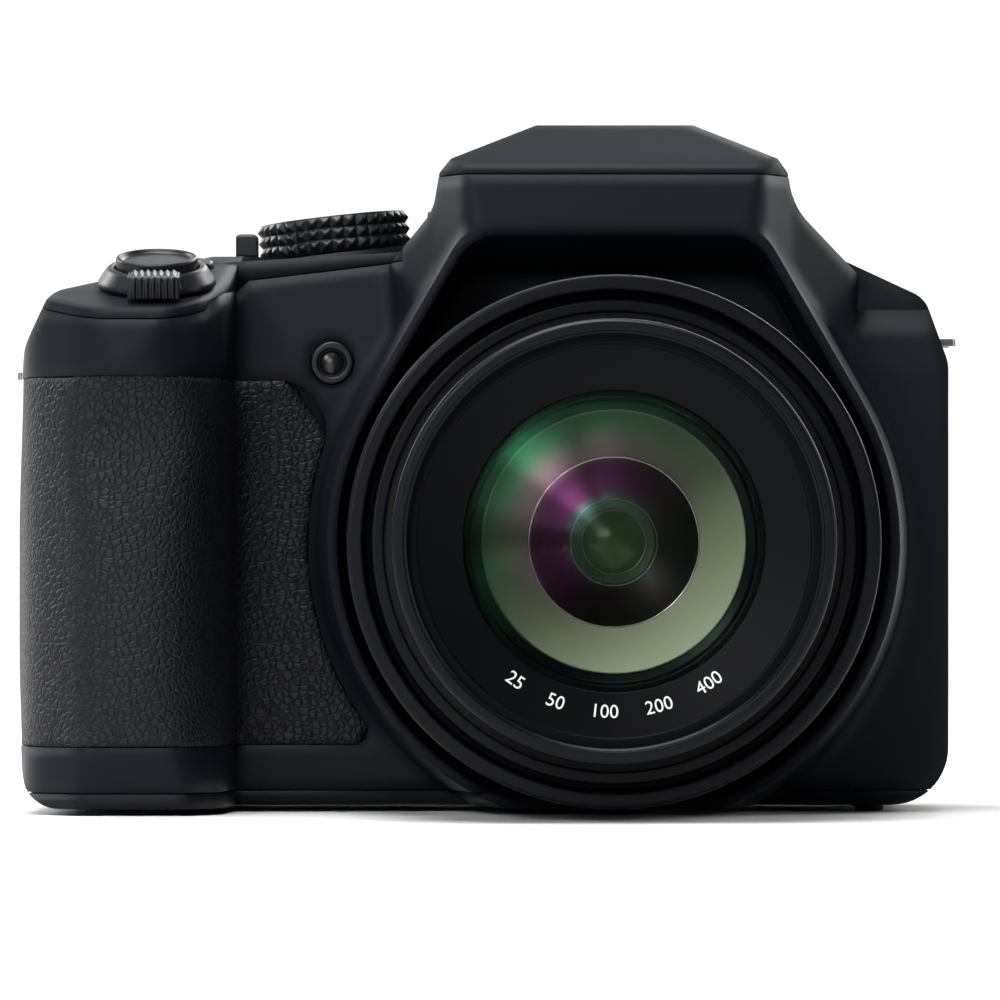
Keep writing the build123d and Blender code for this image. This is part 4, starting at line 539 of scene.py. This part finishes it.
# Front barrel: chamfered rim, the filter thread's ridges, the web that holds the glass and a tail guide
front_radius, front_reach, front_bore, thread_radius = 29.1, 81.2, 27.6, 27.1
thread_depth, thread_pitch = 3.0, 0.75
web_front, web_back, web_radius = 70.3, 68.3, 20.0
guide_radius, guide_front, front_tail = 30.3, 18.0, 16.0
rim_bevel, thread_lead = 0.45, 0.3
ridge_starts = np.arange(thread_lead, thread_depth - thread_pitch / 2, thread_pitch)
ridges = [corner for start in ridge_starts for corner in
          ((front_bore - 0.1, front_reach - start), (thread_radius, front_reach - start - thread_pitch / 2))]
front_profile = [(front_bore, web_front), (web_radius, web_front), (web_radius, web_back),
                 (front_bore, web_back), (front_bore, front_tail), (guide_radius, front_tail),
                 (guide_radius, guide_front), (front_radius, guide_front),
                 (front_radius, front_reach - rim_bevel), (front_radius - rim_bevel, front_reach),
                 (front_bore, front_reach), *ridges, (thread_radius, front_reach - thread_depth),
                 (front_bore, front_reach - thread_depth)]
front_rounds = [0] * 8 + [0.2, 0.2, 0.1] + [0.08] * len(ridges) + [0, 0]
make_piece("front_barrel_turned", [turned(rounded(front_profile, front_rounds), lens_place)], barrel_plastic,
           "front_barrel", ["front_barrel"])

# Trim ring round the glass: a flat rim, a small step and a face that slopes in to the glass
trim_outer, trim_inner, trim_back, trim_front = 27.5, 19.8, 75.6, 78.0
trim_flat, trim_step, trim_lip = 25.9, 0.25, 76.5


def trim_face(radius):
    """Distance in front of the origin of the trim ring's sloping face at a radius."""
    return trim_lip + (radius - trim_inner) * (trim_front - trim_step - trim_lip) / (trim_flat - trim_inner)


trim_profile = [(trim_inner, trim_back), (trim_outer, trim_back), (trim_outer, trim_front),
                (trim_flat, trim_front), (trim_flat - 0.1, trim_face(trim_flat)), (trim_inner, trim_lip)]
make_piece("trim_ring_turned", [turned(rounded(trim_profile, [0, 0, 0.2, 0.15, 0.1, 0.25]), lens_place)],
           trim_plastic, "front_barrel", ["name_ring"])


# Front glass and what shows through it
def dome(radius, edge, bulge, back, steps=28):
    """Closed profile of a lens: a spherical front that bulges from its edge, and a flat back."""
    sphere = (radius ** 2 + bulge ** 2) / (2 * bulge)
    across = np.linspace(0, radius, steps)
    front = edge + bulge - sphere + np.sqrt(sphere ** 2 - across ** 2)
    return np.concatenate([np.stack([across, front], 1), [(radius, back), (0, back)]])


glass_radius, shoulder_radius, glass_edge, glass_bulge = 19.5, 21.5, 75.5, 2.6
glass_profile = np.concatenate([
    dome(glass_radius, glass_edge, glass_bulge, 0)[:-2],
    [(shoulder_radius, glass_edge), (shoulder_radius, web_front), (0, web_front)]])
make_piece("front_element", [turned(glass_profile, lens_place)], glass_with_painted_reflection, "front_barrel",
           ["front_glass"])

# Lens seat: the cone behind the front glass, with painted light that makes it pale towards the lower right,
# and the dark rim round it
seat_outer, seat_inner, seat_front, seat_back, seat_wall = 17.4, 11.3, 68.4, 62.4, 1.2
seat_profile = [(seat_inner, seat_back), (seat_inner, seat_back - seat_wall),
                (seat_outer, seat_front - seat_wall), (seat_outer, seat_front)]
make_piece("lens_seat", [turned(rounded(seat_profile, [0, 0, 0, 0.2]), lens_place)], seat_with_painted_light,
           "front_barrel")
rim_outer, rim_front, rim_land, rim_slope, rim_step = 19.9, 70.1, 0.9, 1.2, 0.6
rim_profile = [(seat_outer, seat_front), (seat_outer, seat_front - seat_wall),
               (rim_outer, rim_front - seat_wall), (rim_outer, rim_front), (rim_outer - rim_land, rim_front),
               (rim_outer - rim_slope, seat_front + rim_step)]
make_piece("glass_rim", [turned(rounded(rim_profile, [0, 0, 0, 0, 0.2, 0.2]), lens_place)], barrel_plastic,
           "front_barrel")


def ring(radius, at, thickness, place=lens_place, steps=12):
    """A round wire bent into a circle."""
    turn = np.linspace(0, 2 * pi, steps + 1)
    return turned(np.stack([radius + thickness * np.cos(turn), at + thickness * np.sin(turn)], 1), place)


# Behind the seat: a dark bowl, a step in its middle, two further lenses and thin bright rings
bowl_profile = [(0, 56.2), (5.8, 56.6), (5.9, 58.0), (8.6, 59.4), (seat_inner, 61.8), (seat_inner, 60.8),
                (6.4, 56.4), (0, 55.4)]
step_profile = [(4.1, 56.8), (4.3, 57.4), (5.5, 57.6), (5.7, 58.1), (5.85, 56.8)]
second_glass = dome(radius=11.1, edge=62.6, bulge=1.6, back=61.9)
third_glass = dome(radius=4.15, edge=57.1, bulge=1.0, back=56.8)
bright_rings = [ring(seat_inner, seat_back + 0.15, 0.12), ring(5.8, 58.15, 0.08), ring(4.25, 57.5, 0.07)]
make_piece("inner_lens_cells", [turned(bowl_profile, lens_place)], bowl_with_painted_reflection, "front_barrel")
make_piece("inner_cell_step", [turned(rounded(step_profile, [0, 0.15, 0.15, 0.1, 0]), lens_place)],
           ring_enamel, "front_barrel")
make_piece("second_element", [turned(second_glass, lens_place)], glass_with_painted_reflection, "front_barrel")
make_piece("third_element", [turned(third_glass, lens_place)], core_glass, "front_barrel")
make_piece("lens_retaining_rings", bright_rings, steel, "front_barrel")
make_piece("seat_edge_ring", [ring(seat_outer, seat_front + 0.1, 0.13)], edge_metal, "front_barrel")


# Marks: plain numbers printed on curved faces
def number_mesh(text, height):
    """The points of plain numbers set on a straight line, centred, in millimetres, and their mesh."""
    curve = bpy.data.curves.new("marks", "FONT")
    curve.body, curve.size, curve.align_x, curve.align_y = text, height, "CENTER", "CENTER"
    curve.resolution_u = 4
    holder = bpy.data.objects.new("marks", curve)
    mesh = bpy.data.meshes.new_from_object(holder)
    points = np.zeros(len(mesh.vertices) * 3)
    mesh.vertices.foreach_get("co", points)
    bpy.data.objects.remove(holder)
    return points.reshape(-1, 3), mesh


def print_marks(name, text, height, bend, body):
    """Ink on a face: bend takes the flat points to places in millimetres on it."""
    points, mesh = number_mesh(text, height)
    mesh.vertices.foreach_set("co", (bend(points) * mm).ravel())
    mesh.update()
    dress_mesh(name, mesh, white_paint, body)


scale_radius, scale_height, ink_lift = 22.4, 2.5, 0.02


def on_trim_ring(points):
    """Bends a line of text round the lower half of the trim ring, on its sloping face."""
    angle = -pi / 2 + points[:, 0] / scale_radius
    radius = scale_radius - points[:, 1]
    depth = trim_face(radius) + ink_lift
    return np.stack([radius * np.cos(angle), -depth, axis_height + radius * np.sin(angle)], 1)


print_marks("focal_scale", "25     50     100     200     400", scale_height, on_trim_ring, "front_barrel")

# Mode dial: three rows of square pyramids round its side, and a dished top with plain numbers
dial_joint = joints["mode_dial_turn"]
dial_origin = np.array(dial_joint["pos_m"]) / mm
dial_place = placed(dial_origin, dial_joint["axis"], (0, -1, 0))
dial_radius, dial_height, pyramid = 10.7, 5.0, 0.6
dial_columns, dial_rows, dial_edge = 36, 3, 0.15
steps_per_pyramid, steps_per_mm = 8, 12
row_height = (dial_height - 2 * dial_edge) / dial_rows


def pyramid_rows(angle, height):
    """Square pyramids in rows: the lesser of two saw-tooth waves, one round the dial, one along its axis."""
    round_wave = 1 - np.abs(2 * ((angle * dial_columns / (2 * pi)) % 1) - 1)
    row_wave = 1 - np.abs(2 * (((height - dial_edge) / row_height) % 1) - 1)
    inside = (height > dial_edge) & (height < dial_height - dial_edge)
    return pyramid * np.minimum(round_wave, row_wave) * inside


side_heights = np.linspace(0, dial_height, int(dial_height * steps_per_mm) + 1)
side_profile = [(dial_radius - pyramid, height) for height in side_heights]
dish_radius, dish_depth, dish_slope, dish_rise = 9.0, 0.35, 0.4, 0.1
shaft_radius, shaft_length = 3.0, 3.4
top_profile = [(dial_radius - pyramid, dial_height), (dish_radius + dish_slope, dial_height),
               (dish_radius, dial_height - dish_depth), (0, dial_height - dish_depth + dish_rise)]
under_profile = [(dial_radius - pyramid, 0), (shaft_radius, 0), (shaft_radius, -shaft_length),
                 (0, -shaft_length)]
dial_steps = dial_columns * steps_per_pyramid
make_piece("mode_dial_knurled", [turned(side_profile, dial_place, dial_steps, pyramid_rows),
                                 turned(top_profile, dial_place, dial_steps),
                                 turned(under_profile, dial_place, dial_steps)],
           control_plastic, "mode_dial", ["mode_dial"], sharp=25)

dial_settings, number_height, number_circle = 8, 2.4, 6.9


def on_dial(turn):
    """Bends a number on to the dial's top, at a turn in degrees."""
    origin, side, across, along = dial_place
    lift = dial_height - dish_depth + dish_rise + ink_lift

    def bend(points):
        out = number_circle + points[:, 1:2]
        ray = cos(radians(turn)) * side + sin(radians(turn)) * across
        right = sin(radians(turn)) * side - cos(radians(turn)) * across
        return origin + out * ray + points[:, :1] * right + lift * along
    return bend


for number in range(1, dial_settings + 1):
    print_marks(f"dial_number_{number}", str(number), number_height, on_dial(360 / dial_settings * number),
                "mode_dial")

# Zoom lever: a conical ring round the shutter button, with a ribbed tab at the front
lever_joint = joints["zoom_lever_turn"]
lever_place = placed(np.array(lever_joint["pos_m"]) / mm, lever_joint["axis"], (0, -1, 0))
lever_radius, lever_bore, lever_lift, lever_top = 8.05, 5.9, 0.35, 2.95
lever_band, lever_land = 0.7, 0.8
lever_profile = [(lever_bore, lever_lift), (lever_radius, lever_lift),
                 (lever_radius, lever_lift + lever_band), (lever_bore + lever_land, lever_top),
                 (lever_bore, lever_top)]
tab_width, tab_reach, tab_root, tab_top, tab_bottom = 7.0, 10.9, 6.8, 3.95, lever_lift + 0.2
tab_ribs, steps_per_rib, rib_depth, tab_side_round, tab_side_share = 8, 12, 0.32, 0.5, 12
tab_outline = rounded([(tab_root, tab_bottom), (tab_reach, tab_bottom), (tab_reach, tab_top),
                       (tab_root, tab_top)], [0.1, 0.3, 1.5, 0.4], steps=8)


def tab_section(share):
    """Outline of the tab at a share of its width: its outer faces have ribs, and its sides are round."""
    rib = rib_depth * (0.5 - 0.5 * cos(2 * pi * tab_ribs * share))
    shrink = rib + tab_side_round * max(0, 1 - tab_side_share * min(share, 1 - share)) ** 2
    reach = np.minimum(tab_outline[:, 0], tab_reach - shrink)
    top = np.minimum(tab_outline[:, 1], tab_top - shrink)
    return np.stack([reach, np.full(len(reach), (share - 0.5) * tab_width), top], 1)


make_piece("zoom_lever_ribbed", [turned(rounded(lever_profile, [0, 0.2, 0.4, 0.4, 0.2]), lever_place),
                                 loop_section(tab_section, tab_ribs * steps_per_rib, lever_place)],
           control_plastic, "zoom_lever", ["zoom_lever"], sharp=45)

# Shutter button: a thin rim round a shallow dome, on its stem
button_radius, button_bottom, button_top, stem_radius, stem_bottom = 5.6, 1.3, 4.3, 2.5, -3.4
dome_radius, dome_drop, dome_edge_drop, rim_radius = 4.6, 0.35, 0.55, 5.0
small_steps = 96
shutter_edge = rounded([(0, button_top - dome_drop), (dome_radius, button_top - dome_edge_drop),
                        (rim_radius, button_top), (button_radius, button_top), (button_radius, button_bottom),
                        (stem_radius, button_bottom), (stem_radius, stem_bottom), (0, stem_bottom)],
                       [0, 0.4, 0.15, 0.35, 0.1, 0, 0, 0])[:-1]
make_piece("shutter_button_turned", [turned(shutter_edge, lever_place, small_steps)], control_plastic,
           "shutter_button", ["shutter_button"])

# Focus lamp: a flat ring and a smoked lens in its middle
lamp_middle = middle("focus_lamp")
lamp_low, lamp_high = corners("focus_lamp")
lamp_radius = (lamp_high[0] - lamp_low[0]) / 2
lamp_depth = lamp_high[1] - lamp_low[1]
lamp_place = placed((lamp_middle[0], lamp_high[1], lamp_middle[2]), (0, -1, 0), (1, 0, 0))
lamp_lens_share = 0.66
lamp_inner = lamp_radius * lamp_lens_share
lamp_ring = [(lamp_inner, 0), (lamp_radius, 0), (lamp_radius, lamp_depth), (lamp_inner + 0.15, lamp_depth),
             (lamp_inner, lamp_depth - 0.3)]
make_piece("focus_lamp_ring", [turned(rounded(lamp_ring, [0, 0, 0.3, 0.1, 0.1]), lamp_place, small_steps)],
           control_plastic, "body", ["focus_lamp"])
lamp_dome = dome(lamp_inner, edge=lamp_depth - 0.9, bulge=0.75, back=0.2)
make_piece("focus_lamp_lens", [turned(lamp_dome, lamp_place, small_steps)], lamp_acrylic, "body")
make_piece("focus_lamp_liner", [ring(lamp_inner - 0.12, lamp_depth - 0.55, 0.1, lamp_place)], black_steel,
           "body")

# Display: the panel shows through the window inside a black border
back_place = placed((0, 0, 0), (0, 1, 0), (-1, 0, 0))
window_low, window_high = corners("lcd_window")
border, panel_lift = 3.6, 0.03


def panel_section(share):
    """Closed outline of the display panel at a share of its height, as side, height and distance back."""
    low_side, high_side = -window_high[0] + border, -window_low[0] - border
    height = window_low[2] + border + share * (window_high[2] - window_low[2] - 2 * border)
    side = np.array([low_side, high_side, high_side, low_side, low_side])
    front, back = window_high[1] - 2 * panel_lift, window_high[1] + panel_lift
    return np.stack([side, np.full(5, height), np.array([front, front, back, back, front])], 1)


make_piece("display_panel", [loop_section(panel_section, 1, back_place)], display_panel, "body")


# Plain signs in ink: a triangle for playback and a red dot for recording
flat_tolerance = 0.02


def ink_sign(name, outline, place, finish, body):
    """A flat sign from its outline in millimetres, laid on a face just above its place."""
    origin, side, across, along = place
    outline = np.array(outline, float)
    points = origin + outline[:, :1] * side + outline[:, 1:] * across + ink_lift * along
    mesh = bpy.data.meshes.new(name)
    mesh.from_pydata((points * mm).tolist(), [], [list(range(len(points)))])
    dress_mesh(name, mesh, finish, body)


def top_place(node, axis, towards):
    """The place in the middle of a node's outermost face along an axis, in millimetres."""
    mesh = frame["nodes"][node].data
    points = np.zeros(len(mesh.vertices) * 3)
    mesh.vertices.foreach_get("co", points)
    points = points.reshape(-1, 3) / mm
    out = points @ (np.array(axis, float) / np.linalg.norm(axis))
    top = points[out > out.max() - flat_tolerance]
    return placed((top.min(0) + top.max(0)) / 2, axis, towards)


sign_size, sign_round = 0.95, np.linspace(0, 2 * pi, 33)[:-1]
triangle = [(-0.6 * sign_size, -sign_size), (1.1 * sign_size, 0), (-0.6 * sign_size, sign_size)]
ink_sign("playback_sign", triangle, top_place("playback_button", (0, 1, 0), (-1, 0, 0)), white_paint,
         "playback_button")
record_up = -np.array(joints["video_press"]["axis"])
record_dot = sign_size * np.stack([np.cos(sign_round), np.sin(sign_round)], 1)
ink_sign("record_sign", record_dot, top_place("video_button", record_up, (1, 0, 0)), red_paint,
         "video_button")


# Studio: a pale floor that curves up behind, and soft lights
def stage_floor(front, back, half_width, rise, bend):
    """A floor along Y that turns up into a wall: a line, a quarter circle and a line, swept along X."""
    turn = np.linspace(0, pi / 2, 24)
    path_y = np.concatenate([[-front], back + bend * np.sin(turn), [back + bend]])
    path_z = np.concatenate([[0], bend * (1 - np.cos(turn)), [rise]]) + floor_height
    x, count = np.array([-half_width, half_width]), len(path_y)
    points = np.stack([np.repeat(x[:, None], count, 1), np.tile(path_y, (2, 1)), np.tile(path_z, (2, 1))], -1)
    mesh = bpy.data.meshes.new("floor")
    mesh.from_pydata((points.reshape(-1, 3) * mm).tolist(), [], grid_faces(2, count, 0).tolist())
    mesh.shade_smooth()
    mesh.materials.append(plain_finish("matt_paper", "#d2d2d1", 0.9))
    add_object("floor", mesh)


def soft_light(name, place, aim, size, power):
    """A rectangular soft light at a place in millimetres, turned to the point it aims at."""
    data = bpy.data.lights.new(name, "AREA")
    data.shape = "RECTANGLE"
    data.size, data.size_y = size[0] * mm, size[1] * mm
    data.energy = power
    light = add_object(name, data)
    light.location = [value * mm for value in place]
    direction = Vector([(a - b) * mm for a, b in zip(aim, place)])
    light.rotation_euler = direction.to_track_quat("-Z", "Y").to_euler()


stage_floor(front=2500, back=1600, half_width=4000, rise=3000, bend=400)
soft_light("key_top", (-150, -150, 900), (0, 0, 40), (700, 500), 14.0)
soft_light("glass_light", (-240, -1000, 330), (0, -76, 36), (120, 180), 1.6)
soft_light("seat_light", (-620, -760, 640), (0, -66, 36), (220, 220), 4.5)
soft_light("grip_light", (-430, -1000, 300), (-60, -40, 40), (90, 300), 1.2)
soft_light("strip_left", (-800, -250, 250), (-40, 0, 40), (120, 700), 0.7)
soft_light("strip_right", (800, -150, 250), (40, 0, 40), (120, 700), 1.0)
soft_light("back_light", (300, 900, 700), (0, 0, 50), (500, 300), 5.0)
soft_light("wall_left", (-1500, 1100, 900), (0, 1900, 300), (900, 900), 42.0)
soft_light("wall_right", (1500, 1100, 900), (0, 1900, 300), (900, 900), 42.0)

world = bpy.data.worlds.new("studio")
world.use_nodes = True
world.node_tree.nodes["Background"].inputs["Color"].default_value = linear("#c8ccd2")
world.node_tree.nodes["Background"].inputs["Strength"].default_value = 0.05
bpy.context.scene.world = world
bpy.context.scene.view_settings.view_transform = "Standard"
